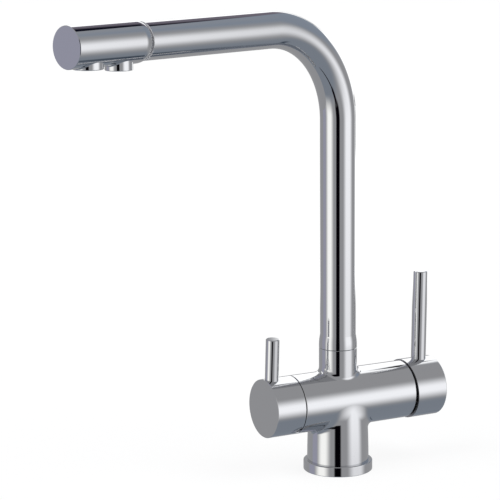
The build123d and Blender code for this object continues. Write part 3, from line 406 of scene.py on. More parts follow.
# ---------------------------------------------------------------- body
def column_side():
    """The column's bowed side, as a circle in (radius, distance below the barrel's axis)."""
    length = BARREL_HEIGHT - FLANGE_HEIGHT
    middle = (COLUMN_FOOT_RADIUS + COLUMN_TOP_RADIUS) / 2 + COLUMN_BOW
    return bow_circle((COLUMN_TOP_RADIUS, 0), (middle, length / 2), (COLUMN_FOOT_RADIUS, length))


def branch_wall(place, side, contact, end, steps):
    """Side of a branch, turned about z, from its blend's contact curve to a level end.

    point(angle, z) = (r cos angle, r sin angle, z), where r is the bow circle's reach at z:
    bow_r + the square root of (bow_radius squared - (z - bow_z) squared).
    """
    bow_r, bow_z, bow_radius = side
    angles = np.linspace(0, 2 * np.pi, len(contact))
    t = np.linspace(0, 1, steps + 1)[:, None]
    z = contact[:, 2] + (end - contact[:, 2]) * t
    tilt = (z - bow_z) / bow_radius
    level = np.sqrt(1 - tilt**2)
    normals = np.stack([level * np.cos(angles), level * np.sin(angles), tilt], -1)
    r = bow_r + bow_radius * level
    points = np.stack([r * np.cos(angles), r * np.sin(angles), z], -1)
    return place.patch(points, normals)


def pierced_band(place, radius, low, high, hole_angle, hole_height, hole_radius, hole_depth,
                 v_steps=16):
    """Band of a cylinder about z with one round hole, and the hole's wall.

    The hole sits in a window of HOLE_WINDOW columns on each side of hole_angle; around it the
    band is a plain grid. The hole's edge is (hole_angle + hole_radius cos t / radius,
    hole_height + hole_radius sin t) in angle and height.
    """
    middle = int(np.argmin(abs(ROUND - hole_angle)))
    left, right = middle - HOLE_WINDOW, middle + HOLE_WINDOW
    heights = np.linspace(low, high, v_steps + 1)[:, None]
    patches = []
    for columns in (ROUND[:left + 1], ROUND[right:]):
        grid = np.broadcast_to(columns, (v_steps + 1, len(columns)))
        patches.append(cylinder_patch(place, radius, grid, np.broadcast_to(heights, grid.shape)))
    border = window(ROUND[left], ROUND[right], low, high, 2 * HOLE_WINDOW, v_steps)
    turns = np.linspace(0, 2 * np.pi, len(border))
    hole = np.stack([hole_angle + hole_radius * np.cos(turns) / radius,
                     hole_height + hole_radius * np.sin(turns)], 1)
    chart = between(hole, border, steps=8)
    patches.append(cylinder_patch(place, radius, chart[..., 0], chart[..., 1]))
    # the wall of the hole runs straight inwards
    across = np.array([-sin(hole_angle), cos(hole_angle), 0])
    inwards = -np.array([cos(hole_angle), sin(hole_angle), 0])
    rim = radius * np.stack([np.cos(hole[:, 0]), np.sin(hole[:, 0]), 0 * turns], 1)
    rim[:, 2] = hole[:, 1]
    bottom = rim + inwards * hole_depth
    facing = -(np.cos(turns)[:, None] * across + np.sin(turns)[:, None] * (0, 0, 1))
    wall = place.patch(np.stack([rim, bottom]), np.stack([facing, facing]))
    return patches, [wall]


def body_skin():
    """Column, barrel and riser of the casting, with their cast blends and machined ends."""
    up = Place((0, 0, BARREL_HEIGHT), (1, 0, 0), (0, 1, 0), (0, 0, 1))
    down = Place((0, 0, BARREL_HEIGHT), (1, 0, 0), (0, -1, 0), (0, 0, -1))
    limits = (-BARREL_LEFT + BARREL_EDGE_CHAMFER, BARREL_RIGHT - BARREL_END_ROUND)
    skin = []
    riser_side = plain_side(RISER_RADIUS)
    half, riser_contact = branched_side(up, BARREL_RADIUS, riser_side, RISER_BLEND, limits)
    skin += half
    # column and barrel are nearly as wide, so in front they meet at a small angle, which buffing
    # has worn over a wider band: radius = blend / (cos^2 angle + buffing^2)
    column_blend = COLUMN_BLEND / (np.cos(ROUND)**2 + COLUMN_BUFFING**2)
    half, column_contact = branched_side(down, BARREL_RADIUS, column_side(), column_blend, limits)
    skin += half
    skin.append(branch_wall(down, column_side(), column_contact, BARREL_HEIGHT - FLANGE_HEIGHT,
                            steps=24))

    # the riser: up to the level of the screw hole, the pierced band, and the rest
    riser_top = RISER_TOP - RISER_EDGE_CHAMFER
    band_low, band_high = RETAINING_HEIGHT - RETAINING_BAND, RETAINING_HEIGHT + RETAINING_BAND
    skin.append(branch_wall(up, riser_side, riser_contact, band_low - BARREL_HEIGHT, steps=8))
    band, hole_wall = pierced_band(UPRIGHT, RISER_RADIUS, band_low, band_high, np.pi / 2,
                                   RETAINING_HEIGHT, RETAINING_HOLE_RADIUS, RETAINING_HOLE_DEPTH)
    skin += band
    skin += turned(UPRIGHT, [
        line((RISER_RADIUS, band_high), (RISER_RADIUS, riser_top), 4),
        line((RISER_RADIUS, riser_top), (RISER_RADIUS - RISER_EDGE_CHAMFER, RISER_TOP)),
        line((RISER_RADIUS - RISER_EDGE_CHAMFER, RISER_TOP), (WASHER_RECESS_RADIUS, RISER_TOP)),
    ], AROUND)
    recess_floor = RISER_TOP - WASHER_RECESS_DEPTH
    inside = hole_wall + turned(UPRIGHT, path_of(
        (WASHER_RECESS_RADIUS, RISER_TOP), (WASHER_RECESS_RADIUS, recess_floor), (0, recess_floor),
    ), AROUND)

    # the two ends of the barrel and the foot of the column
    around_barrel = 2 * SIDE_STEPS
    end_centre = (BARREL_RADIUS - BARREL_END_ROUND, BARREL_RIGHT - BARREL_END_ROUND)
    skin += turned(BARREL, [arc(end_centre, BARREL_END_ROUND, 0, 90, 16)], around_barrel)
    nut_floor = BARREL_RIGHT - NUT_BORE_DEPTH
    inside += turned(BARREL, path_of(
        (end_centre[0], BARREL_RIGHT), (NUT_BORE_RADIUS, BARREL_RIGHT),
        (NUT_BORE_RADIUS, nut_floor), (0, nut_floor),
    ), around_barrel)
    skin += turned(FILTER_SIDE, path_of(
        (BARREL_RADIUS, -limits[0]), (BARREL_RADIUS - BARREL_EDGE_CHAMFER, BARREL_LEFT),
        (GLIDE_GROOVE_OUTER, BARREL_LEFT),
    ), around_barrel)
    groove_floor = BARREL_LEFT - GLIDE_GROOVE_DEPTH
    recess = BARREL_LEFT - VALVE_RECESS_DEPTH
    inside += turned(FILTER_SIDE, path_of(
        (GLIDE_GROOVE_OUTER, BARREL_LEFT), (GLIDE_GROOVE_OUTER, groove_floor),
        (GLIDE_GROOVE_INNER, groove_floor), (GLIDE_GROOVE_INNER, BARREL_LEFT),
        (VALVE_RECESS_RADIUS, BARREL_LEFT), (VALVE_RECESS_RADIUS, recess), (0, recess),
    ), around_barrel)
    stub_bore = BLOCK_STUB_RADIUS + FIT
    inside += turned(UPRIGHT, path_of(
        (0, BLOCK_HEIGHT), (stub_bore, BLOCK_HEIGHT), (stub_bore, FLANGE_HEIGHT),
        (COLUMN_FOOT_RADIUS, FLANGE_HEIGHT),
    ), AROUND)
    make_piece("body_skin", skin, "tap_body", ["body_casting"], inside)


def flange_skin():
    """Base plate: chamfered foot, plain side, rounded upper edge and the gasket's groove."""
    bore = BLOCK_RADIUS + FIT
    groove_outer = GASKET_RADIUS + FIT
    groove_inner = GASKET_RADIUS - GASKET_WIDTH - FIT
    round_centre = (FLANGE_RADIUS - FLANGE_EDGE_ROUND, FLANGE_HEIGHT - FLANGE_EDGE_ROUND)
    skin = path_of(
        (groove_outer, 0), (FLANGE_RADIUS - FOOT_CHAMFER, 0), (FLANGE_RADIUS, FOOT_CHAMFER),
        (FLANGE_RADIUS, round_centre[1]),
    )
    skin.append(arc(round_centre, FLANGE_EDGE_ROUND, 0, 90))
    skin.append(line((round_centre[0], FLANGE_HEIGHT), (bore, FLANGE_HEIGHT)))
    under = path_of(
        (bore, FLANGE_HEIGHT), (bore, 0), (groove_inner, 0), (groove_inner, GASKET_THICKNESS),
        (groove_outer, GASKET_THICKNESS), (groove_outer, 0),
    )
    make_piece("flange_skin", turned(UPRIGHT, skin, AROUND), "tap_body", ["base_flange"],
               turned(UPRIGHT, under, AROUND))


def dome_skin():
    """Polished cover behind the mixer handle: part of a sphere about the pivot pin."""
    def on_sphere(radius, distance):
        return degrees(asin(distance / radius))
    outer_start = 90 - on_sphere(DOME_RADIUS, DOME_SKIRT_RADIUS)
    outer_end = 90 - on_sphere(DOME_RADIUS, DOME_MOUTH_RADIUS)
    inner_radius = DOME_RADIUS - DOME_WALL
    bore = DOME_SKIRT_RADIUS - DOME_WALL
    inner_start = 90 - on_sphere(inner_radius, DOME_MOUTH_RADIUS)
    inner_end = 90 - on_sphere(inner_radius, bore)
    outside = arc((0, PIVOT_PLACE), DOME_RADIUS, outer_start, outer_end, 24)
    within = arc((0, PIVOT_PLACE), inner_radius, inner_start, inner_end, 24, hollow=True)
    outline = [
        line((DOME_SKIRT_RADIUS, DOME_START), outside[0][0]), outside,
        line(outside[0][-1], within[0][0]), within, line(within[0][-1], (bore, DOME_START)),
        line((bore, DOME_START), (DOME_SKIRT_RADIUS, DOME_START)),
    ]
    make_piece("dome_skin", turned(BARREL, outline), "tap_body", ["dome_cover"])


# ---------------------------------------------------------------- handles
def handle_skin(name, place, body, node, radius, wall, rim_top, rim_bottom, end, end_wall,
                end_edge, edge_size, hub_radius, hub_start, screw_place):
    """Hollow handle: side with a slanted rim and a screw hole underneath, end, hub and bore.

    The rim's place is rim(angle) = middle - slope x radius x cos(angle), with angle 0 at the top.
    end_edge is the outline of the edge at the flat end, edge_size long and wide. The hub stands
    on the end's inner face, and the stem's bore stops STEM_BORE_FLOOR short of that face.
    """
    slope = (rim_bottom - rim_top) / (2 * radius)
    middle = (rim_top + rim_bottom) / 2
    band_low, band_high = screw_place - SCREW_BAND[0], screw_place + SCREW_BAND[1]
    inner_radius, inner_end = radius - wall, end - end_wall
    t = np.linspace(0, 1, 9)[:, None]

    def rim(r):
        return middle - slope * r * np.cos(ROUND)

    def wall_to(r, far, hollow):
        angles = np.broadcast_to(ROUND, (len(t), len(ROUND)))
        return cylinder_patch(place, r, angles, rim(r) + (far - rim(r)) * t, hollow)

    outer, within = rim(radius), rim(inner_radius)
    ring = np.stack([np.cos(ROUND), np.sin(ROUND), 0 * ROUND], 1)
    rim_points = np.stack([radius * ring + outer[:, None] * (0, 0, 1),
                           inner_radius * ring + within[:, None] * (0, 0, 1)])
    facing = np.broadcast_to(-np.array([slope, 0, 1]) / hypot(slope, 1), rim_points.shape)
    skin = [wall_to(radius, band_low, False)]
    band, hole_wall = pierced_band(place, radius, band_low, band_high, np.pi, screw_place,
                                   SCREW_HOLE_RADIUS, wall)
    skin += band
    skin += turned(place, [line((radius, band_high), (radius, end - edge_size), 4), end_edge,
                           line((radius - edge_size, end), (0, end), 12)], AROUND)
    bore_end = inner_end - STEM_BORE_FLOOR
    hub = path_of((inner_radius, inner_end), (hub_radius, inner_end), (hub_radius, hub_start),
                  (STEM_RADIUS, hub_start), (STEM_RADIUS, bore_end), (0, bore_end))
    inside = [place.patch(rim_points, facing), wall_to(inner_radius, inner_end, True)]
    inside += hole_wall + turned(place, hub, AROUND)
    make_piece(name, skin, body, [node], inside)


def lever_skin(name, place, body, node, handle_radius, along, radius, top):
    """Round lever standing in its handle's skin, with a small chamfer round its flat end."""
    standing = crossing(place, along, (0, 0, 1), (1, 0, 0))
    seat = handle_radius - LEVER_SEAT_DEPTH
    outline = path_of((0, seat), (radius, seat)) + [
        line((radius, seat), (radius, top - LEVER_CHAMFER), 12),
        line((radius, top - LEVER_CHAMFER), (radius - LEVER_CHAMFER, top)),
        line((radius - LEVER_CHAMFER, top), (0, top), 3),
    ]
    make_piece(name, turned(standing, outline, 96), body, [node])


def handles():
    """Both handles with their levers."""
    corner = (MIXER_RADIUS - MIXER_END_ROUND, MIXER_END - MIXER_END_ROUND)
    handle_skin("mixer_handle_skin", MIXER, "mixer_handle", "mixer_handle_cap", MIXER_RADIUS,
                MIXER_WALL, MIXER_RIM_TOP, MIXER_RIM_BOTTOM, MIXER_END, MIXER_END_WALL,
                arc(corner, MIXER_END_ROUND, 0, 90, 8), MIXER_END_ROUND, MIXER_HUB_RADIUS,
                MIXER_HUB_START, MIXER_SCREW_PLACE)
    chamfer = line((FILTER_RADIUS, FILTER_END - FILTER_END_CHAMFER),
                   (FILTER_RADIUS - FILTER_END_CHAMFER, FILTER_END))
    handle_skin("filter_handle_skin", FILTER, "filter_handle", "filter_handle_cap", FILTER_RADIUS,
                FILTER_WALL, FILTER_START, FILTER_START, FILTER_END, FILTER_END_WALL, chamfer,
                FILTER_END_CHAMFER, FILTER_HUB_RADIUS, FILTER_HUB_START, FILTER_SCREW_PLACE)
    lever_skin("mixer_lever_skin", MIXER, "mixer_handle", "mixer_lever", MIXER_RADIUS,
               MIXER_LEVER_PLACE, MIXER_LEVER_RADIUS, MIXER_LEVER_TOP)
    lever_skin("filter_lever_skin", FILTER, "filter_handle", "filter_lever", FILTER_RADIUS,
               FILTER_LEVER_PLACE, FILTER_LEVER_RADIUS, FILTER_LEVER_TOP)


# ---------------------------------------------------------------- spout
def bent_wall(radius, start, reach, hollow, columns=128):
    """Wall of the bent tube: a circle of the radius carried up, round the bend and along the arm.

    In the arm's upright plane the centre is (0, z), then BEND_RADIUS from the bend's centre, then
    (s, arm height); across is the horizontal that is square to the arm.
    """
    bend_start = ARM_HEIGHT - BEND_RADIUS
    turns = np.linspace(0, np.pi / 2, 65)
    rise = np.linspace(start, bend_start, 25)[:-1]
    run = np.linspace(BEND_RADIUS, reach, 25)[1:]
    reach_at = np.concatenate([0 * rise, BEND_RADIUS * (1 - np.cos(turns)), run])
    height_at = np.concatenate([rise, bend_start + BEND_RADIUS * np.sin(turns),
                                0 * run + ARM_HEIGHT])
    turn_at = np.concatenate([0 * rise, turns, 0 * run + np.pi / 2])
    arm_axis, across, up = ARM.axes[2], ARM.axes[1], np.array([0.0, 0.0, 1.0])
    centre = reach_at[:, None] * arm_axis + height_at[:, None] * up
    outwards = -np.cos(turn_at)[:, None] * arm_axis + np.sin(turn_at)[:, None] * up
    angles = np.linspace(0, 2 * np.pi, columns + 1)[:, None]
    facing = np.cos(angles) * outwards[:, None] + np.sin(angles) * across
    return centre[:, None] + radius * facing, -facing if hollow else facing


def tube_skin():
    """Outer tube of the spout, with its wall showing at the cut end."""
    start = SPOUT_START + SPOUT_FOOT_HEIGHT
    bore = SPOUT_TUBE_RADIUS - SPOUT_TUBE_WALL
    end = ARM_REACH + TUBE_LAP
    skin = [bent_wall(SPOUT_TUBE_RADIUS, start, end, False)]
    inside = [bent_wall(bore, start, end, True)]
    inside += turned(ARM, [line((SPOUT_TUBE_RADIUS, end), (bore, end))])
    inside += turned(UPRIGHT.leaning(SPOUT_TURN), [line((bore, start), (SPOUT_TUBE_RADIUS, start))])
    make_piece("spout_tube_skin", skin, "spout", ["spout_tube"], inside, SATIN_PLATING)


def foot_skin():
    """Turned foot of the spout: short plain side, then a swelling that runs into the tube.

    The swelling is the arc that leaves the plain side upright and ends at the tube's radius.
    """
    straight_end = SPOUT_START + SPOUT_FOOT_STRAIGHT
    top = SPOUT_START + SPOUT_FOOT_HEIGHT
    rise, narrowing = top - straight_end, RISER_RADIUS - SPOUT_TUBE_RADIUS
    swell_radius = (rise**2 + narrowing**2) / (2 * narrowing)
    swell_end = degrees(asin(rise / swell_radius))
    bore = SPOUT_TUBE_RADIUS - SPOUT_TUBE_WALL - FIT
    skin = [
        line((SOCKET_RADIUS, SPOUT_START), (RISER_RADIUS, SPOUT_START)),
        line((RISER_RADIUS, SPOUT_START), (RISER_RADIUS, straight_end), 2),
        arc((RISER_RADIUS - swell_radius, straight_end), swell_radius, 0, swell_end, 24),
    ]
    within = path_of((SPOUT_TUBE_RADIUS, top), (bore, top), (bore, top + SPOUT_FOOT_SPIGOT),
                     (SOCKET_RADIUS, top + SPOUT_FOOT_SPIGOT), (SOCKET_RADIUS, SPOUT_START))
    make_piece("spout_foot_skin", turned(UPRIGHT, skin), "spout", ["spout_foot"],
               turned(UPRIGHT, within))


# ---------------------------------------------------------------- head
def head_skin():
    """Head: curved shoulder, plain side and two outlets blended into its underside.

    The shoulder is the arc that starts at the neck's radius and runs smoothly into the side.
    """
    head_end = ARM_REACH + HEAD_LENGTH
    shell_end = head_end - HEAD_CAP_THICKNESS
    shoulder_end = ARM_REACH + HEAD_SHOULDER
    drop = HEAD_RADIUS - HEAD_NECK_RADIUS
    shoulder_radius = (HEAD_SHOULDER**2 + drop**2) / (2 * drop)
    shoulder_turn = degrees(asin(HEAD_SHOULDER / shoulder_radius))
    # the grids of the two outlets meet half-way between their walls
    mixed_back, mixed_radius, _ = MIXED_OUTLET
    filtered_back, filtered_radius, _ = FILTERED_OUTLET
    walls = (head_end - mixed_back - mixed_radius, head_end - filtered_back + filtered_radius)
    split = sum(walls) / 2
    skin = turned(ARM, [
        arc((HEAD_RADIUS - shoulder_radius, shoulder_end), shoulder_radius, -shoulder_turn, 0, 24),
    ], 2 * SIDE_STEPS)
    inside = turned(ARM, [line((0, ARM_REACH), (HEAD_NECK_RADIUS, ARM_REACH)),
                          line((HEAD_RADIUS, shell_end), (0, shell_end))], 2 * SIDE_STEPS)
    outlets = ((MIXED_OUTLET, (split, shell_end)), (FILTERED_OUTLET, (shoulder_end, split)))
    for (back, radius, fall), (low, high) in outlets:
        # the branch's frame: x along the arm, z down, on the arm's axis at the outlet
        place = crossing(ARM, head_end - back, (0, 0, 1), (-1, 0, 0))
        limits = (low - head_end + back, high - head_end + back)
        half, contact = branched_side(place, HEAD_RADIUS, plain_side(radius), OUTLET_BLEND,
                                      limits, steps=12)
        skin += half
        rim = fall - OUTLET_CHAMFER
        skin.append(branch_wall(place, plain_side(radius), contact, rim, steps=4))
        bore = radius - OUTLET_WALL
        skin += turned(place, path_of((radius, rim), (radius - OUTLET_CHAMFER, fall), (bore, fall)),
                       AROUND)
        inside += turned(place, path_of((bore, fall), (bore, fall - AERATOR_LENGTH),
                                        (0, fall - AERATOR_LENGTH)), AROUND)
        # the upper half of the side
        angles = np.linspace(-np.pi / 2, np.pi / 2, SIDE_STEPS + 1)[:, None]
        along = np.linspace(low, high, SIDE_STEPS + 1)
        skin.append(cylinder_patch(ARM, HEAD_RADIUS, angles + 0 * along, 0 * angles + along))
    make_piece("head_skin", skin, "spout", ["head_shell"], inside)


def head_cap_skin():
    """Flat end of the head with a fine chamfer."""
    head_end = ARM_REACH + HEAD_LENGTH
    start = head_end - HEAD_CAP_THICKNESS
    outline = path_of(
        (0, start), (HEAD_RADIUS, start), (HEAD_RADIUS, head_end - HEAD_CAP_CHAMFER),
        (HEAD_RADIUS - HEAD_CAP_CHAMFER, head_end), (0, head_end),
    )
    make_piece("head_cap_skin", turned(ARM, outline), "spout", ["head_end_cap"])


def aerator_ring_skins():
    """Threaded rings that hold the aerators, just inside the rims of the outlets."""
    names = ("mixed", "filtered")
    for name, (back, radius, fall) in zip(names, (MIXED_OUTLET, FILTERED_OUTLET)):
        place = crossing(ARM, ARM_REACH + HEAD_LENGTH - back, (0, 0, 1), (-1, 0, 0))
        outer = radius - OUTLET_WALL - FIT
        inner = outer - AERATOR_WALL
        start = fall - AERATOR_LENGTH
        outline = path_of((inner, start), (outer, start), (outer, fall), (inner, fall),
                          (inner, start))
        make_piece(f"{name}_aerator_ring_skin", turned(place, outline), "spout",
                   [f"{name}_aerator_housing"])


# ---------------------------------------------------------------- materials
def hex_colour(text, strength=1.0):
    """sRGB hex value as linear red, green, blue and alpha."""
    values = [int(text[i:i + 2], 16) / 255 for i in (1, 3, 5)]
    linear = [v / 12.92 if v <= 0.04045 else ((v + 0.055) / 1.055) ** 2.4 for v in values]
    return [strength * v for v in linear] + [1]


def add(tree, kind, inputs=None, **fields):
    """Adds a node. inputs maps each socket to a value, or to the output that feeds it."""
    node = tree.nodes.new(kind)
    for field, value in fields.items():
        setattr(node, field, value)
    for socket, value in (inputs or {}).items():
        if isinstance(value, bpy.types.NodeSocket):
            tree.links.new(value, node.inputs[socket])
        else:
            node.inputs[socket].default_value = value
    return node.outputs


def finish(name, colour, metallic, roughness, spread, grain_mm, relief_um, stretch=(1, 1, 1),
           detail=3):
    """A finish whose roughness and relief follow a noise of grains of a real size.

    roughness is its middle value and spread how far the grain carries it either way. The relief
    is relief_um micrometres high, stretch squeezes the grain along the axes, and detail is how
    many finer layers the noise has.
    """
    material = bpy.data.materials.new(name)
    material.use_nodes = True
    tree = material.node_tree
    shader = tree.nodes["Principled BSDF"]
    shader.inputs["Base Color"].default_value = hex_colour(colour)
    shader.inputs["Metallic"].default_value = metallic
    place = add(tree, "ShaderNodeTexCoord")["Object"]
    place = add(tree, "ShaderNodeMapping", {"Vector": place, "Scale": stretch})[0]
    grain = add(tree, "ShaderNodeTexNoise",
                {"Vector": place, "Scale": 1 / (grain_mm * MM), "Detail": detail})[0]
    levels = add(tree, "ShaderNodeMapRange",
                 {0: grain, 3: roughness - spread, 4: roughness + spread})
    relief = add(tree, "ShaderNodeBump", {"Distance": relief_um * 1e-6, "Height": grain})
    tree.links.new(levels[0], shader.inputs["Roughness"])
    tree.links.new(relief[0], shader.inputs["Normal"])
    return material


# Chrome plate over hand-buffed brass: a mirror whose bands wander a little, because buffing
# leaves broad, shallow waves.
CHROME = finish("polished_chrome", "#D4D5D7", 1.0, 0.045, 0.012, 14.0, 1.5, detail=1)
# Plating over turned rims and bores that no buffing wheel reaches: a pale satin metal.
DULL_PLATING = finish("unbuffed_plating", "#B8B8BA", 1.0, 0.42, 0.1, 0.6, 8.0)
# Plating over the faced end of the tube: pale and nearly matt, light grey in the head's shade.
SATIN_PLATING = finish("satin_plating", "#DCDCDF", 0.15, 0.5, 0.1, 0.6, 8.0)
# Turned and milled brass: warm metal with a fine feed mark.
BRASS = finish("machined_brass", "#C9A65A", 1.0, 0.3, 0.08, 0.5, 4.0, stretch=(1, 1, 6))
# Bright-drawn stainless steel of screws, pins and the inner tube.
STEEL = finish("drawn_stainless_steel", "#B9B8B4", 1.0, 0.28, 0.06, 0.4, 2.0, stretch=(6, 6, 1))
# Black acetal of slip rings: waxy and slightly glossy.
ACETAL = finish("black_acetal", "#1D1D1F", 0.0, 0.42, 0.08, 0.8, 6.0)
# Nitrile rubber of seals and the base gasket: matt with a moulded bloom.
RUBBER = finish("nitrile_rubber", "#18181A", 0.0, 0.7, 0.1, 0.5, 12.0)
# Lapped alumina of the valve discs: pale, hard and smooth.
CERAMIC = finish("lapped_alumina", "#E8E4DA", 0.0, 0.16, 0.03, 0.3, 0.5)
# Injection-moulded nylon of the cartridge and aerators.
NYLON = finish("moulded_nylon", "#6F7378", 0.0, 0.45, 0.06, 0.7, 8.0)

SLOT_FINISHES = {
    "polished_chrome": CHROME, "brass": BRASS, "stainless_steel": STEEL, "acetal": ACETAL,
    "rubber": RUBBER, "ceramic": CERAMIC, "moulded_plastic": NYLON,
}


def dress_packed_nodes():
    """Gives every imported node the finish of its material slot."""
    for subpart in frame["record"]["subparts"]:
        materials = frame["nodes"][subpart["node"]].data.materials
        materials.clear()
        materials.append(SLOT_FINISHES[subpart["material_slot"]])
    # the ring inside the cut end of the tube is plated but not buffed
    frame["nodes"]["tube_end_ring"].data.materials[0] = DULL_PLATING


# ---------------------------------------------------------------- studio
CAMERA_TURN = 29.522        # degrees from +Y towards +X
CAMERA_DIP = 10.395         # degrees below the horizon
CAMERA_ROLL = -0.377        # degrees
CAMERA_PLACE = (-0.83404, -1.34529, 0.45176)   # metres
CAMERA_LENS = 162.0         # millimetres
SENSOR_WIDTH = 36.0         # millimetres

# What the chrome mirrors far away. A panel is the product of two bands, one round the horizon
# (degrees to the right of the camera, as seen from the tap) and one in height (degrees above the
# horizon). Each band is low end, high end and the softness of its ends.
WALLS = "#A7A7A9"
PANELS = (
    # low walls, and the dark line of the table's far edge
    ((-190, 190, 1), (-95, -34, 10), "#8B929C", 1.0),
    ((112, 150, 8), (-50, -46.5, 2), "#3B4654", 1.0),
    # lavender wall far to the left, which the end of the head mirrors
    ((-112, -86, 5), (-60, 60, 10), "#AAAABA", 1.0),
    # bluish wall behind on the right
    ((100, 172, 10), (10, 50, 8), "#949DAA", 1.0),
    # softboxes on the right and on the left
    ((42, 91, 14), (-20, 20, 16), "#FDFDFF", 1.33),
    ((-77, -39.5, 13), (-28, 20, 14), "#FFFEFA", 1.35),
    # dark gap between them, where the camera stands, narrower towards the ground
    ((-14, 9, 3), (-26, 44, 5), "#050308", 1.0),
    ((-9, 4, 3), (-43, -24, 3), "#050308", 1.0),
    ((-6, 1, 2), (-74, -41, 3), "#050308", 1.0),
)
# Cards on one upright plane close behind the tap, square to the camera, each pasted over the ones
# before. An edge is the direction that it faces (degrees from the picture's right towards its
# top), its distance from the foot of the tap and its softness, both in millimetres.
RIGHT, TOP, LEFT, BOTTOM = 0, 90, 180, 270
CARD_DISTANCE = 150
CARD_REACH = (-400, 400, 20, 900)   # left, right, bottom and top of the plane
CARDS = (
    # white card behind the body
    (((RIGHT, 168, 50), (28.8, 275, 44), (TOP, 362, 8), (160, 92, 8), (LEFT, 62, 12),
      (BOTTOM, -95, 12)), "#FFFFFF", 1.5),
    # white card behind the arm
    (((42.1, 270, 6), (LEFT, 260, 20), (BOTTOM, -360, 6)), "#FFFFFF", 1.5),
    # header above both, grey at its lower edge and then nearly black
    (((222.1, -266, 5), (-16.5, -114, 12), (LEFT, 330, 30)), "#7C7682", 1.0),
    (((222.1, -430, 90), (-16.5, -114, 12), (LEFT, 330, 30)), "#0B0E1E", 1.0),
    # dark batten across the lower card
    (((RIGHT, 122, 8), (TOP, 262, 9), (LEFT, -88, 8), (BOTTOM, -206, 9)), "#1C1C20", 1.0),
)
# Grey shelf that keeps the card behind the body out of the underside of the arm: its height, and
# its corners to the right of the tap and behind it, with the front edge along the arm.
SHELF_HEIGHT = 262
SHELF_CORNERS = ((-130, -118), (80, 81), (80, 148), (-130, 148))

FLOOR_REACH = 12.0          # metres from the tap to each edge of the floor
FLOOR_PALENESS = 0.88       # share of plain white in the floor; the rest takes the shadow
SUN_TURNS = {"left_sun": -60, "right_sun": 63}   # directions round the horizon, as for the panels
SUN_LIFT = 50               # degrees above the horizon
SUN_SPREAD = 40             # degrees across, which makes the shadow soft
SUN_STRENGTH = 1.35


def band(tree, angle, low, high, softness):
    """1 where an angle in radians lies between two in degrees, 0 outside, soft at both ends."""
    ends = []
    for end, levels in ((low, (0.0, 1.0)), (high, (1.0, 0.0))):
        ends.append(add(tree, "ShaderNodeMapRange", {
            0: angle, 1: radians(end - softness), 2: radians(end + softness),
            3: levels[0], 4: levels[1],
        }, interpolation_type="SMOOTHSTEP")[0])
    return add(tree, "ShaderNodeMath", {0: ends[0], 1: ends[1]}, operation="MULTIPLY")[0]


def studio_world():
    """Grey walls with the panels over them, each over the ones before; white for the camera."""
    world = bpy.data.worlds.new("studio")
    bpy.context.scene.world = world
    world.use_nodes = True
    tree = world.node_tree
    tree.nodes.clear()
    direction = add(tree, "ShaderNodeTexCoord")["Generated"]
    facing = add(tree, "ShaderNodeMapping", {
        "Vector": direction, "Rotation": (0, 0, radians(CAMERA_TURN)),
    }, vector_type="VECTOR")[0]
    right, away, up = add(tree, "ShaderNodeSeparateXYZ", {0: facing})
    towards = add(tree, "ShaderNodeMath", {0: away, 1: -1.0}, operation="MULTIPLY")[0]
    turn = add(tree, "ShaderNodeMath", {0: right, 1: towards}, operation="ARCTAN2")[0]
    lift = add(tree, "ShaderNodeMath", {0: up}, operation="ARCSINE")[0]

    colour = hex_colour(WALLS)
    for turns, lifts, tint, strength in PANELS:
        bands = {0: band(tree, turn, *turns), 1: band(tree, lift, *lifts)}
        mask = add(tree, "ShaderNodeMath", bands, operation="MULTIPLY")[0]
        colour = add(tree, "ShaderNodeMix", {0: mask, 6: colour, 7: hex_colour(tint, strength)},
                     data_type="RGBA")[2]
    camera_ray = add(tree, "ShaderNodeLightPath")["Is Camera Ray"]
    seen = add(tree, "ShaderNodeMix", {0: camera_ray, 6: colour, 7: (1, 1, 1, 1)},
               data_type="RGBA")[2]
    background = add(tree, "ShaderNodeBackground", {"Color": seen})[0]
    add(tree, "ShaderNodeOutputWorld", {"Surface": background})


def stage_plane(name, corners, surface):
    """Four-cornered plane of the studio, with a shader that surface(tree) builds."""
    mesh = bpy.data.meshes.new(name)
    mesh.from_pydata(corners, [], [(0, 1, 2, 3)])
    material = bpy.data.materials.new(name)
    material.use_nodes = True
    material.node_tree.nodes.clear()
    shader = surface(material.node_tree)
    add(material.node_tree, "ShaderNodeOutputMaterial", {"Surface": shader})
    mesh.materials.append(material)
    obj = bpy.data.objects.new(name, mesh)
    bpy.context.scene.collection.objects.link(obj)


def floor_surface(tree):
    """Pale floor that keeps a faint shadow; the chrome looks past it into the studio."""
    paths = add(tree, "ShaderNodeLightPath")
    diffuse = add(tree, "ShaderNodeBsdfDiffuse", {"Color": (1, 1, 1, 1)})[0]
    white = add(tree, "ShaderNodeEmission", {"Strength": 1.0})[0]
    pale = add(tree, "ShaderNodeMixShader", {0: FLOOR_PALENESS, 1: diffuse, 2: white})[0]
    lit = add(tree, "ShaderNodeMixShader", {0: paths["Is Camera Ray"], 1: diffuse, 2: pale})[0]
    clear = add(tree, "ShaderNodeBsdfTransparent")[0]
    return add(tree, "ShaderNodeMixShader", {0: paths["Is Glossy Ray"], 1: lit, 2: clear})[0]


def floor():
    """Level floor that reaches past the picture's edges."""
    corners = ((-1, -1), (1, -1), (1, 1), (-1, 1))
    stage_plane("floor", [(FLOOR_REACH * x, FLOOR_REACH * y, 0) for x, y in corners],
                floor_surface)


def studio_point(side, away, height):
    """Point in metres that lies so many millimetres to the right of the tap, behind it and up.

    Right and behind are as the camera sees them: x = side cos turn + away sin turn and
    y = away cos turn - side sin turn.
    """
    turn = radians(CAMERA_TURN)
    return MM * Vector((side * cos(turn) + away * sin(turn), away * cos(turn) - side * sin(turn),
                        height))


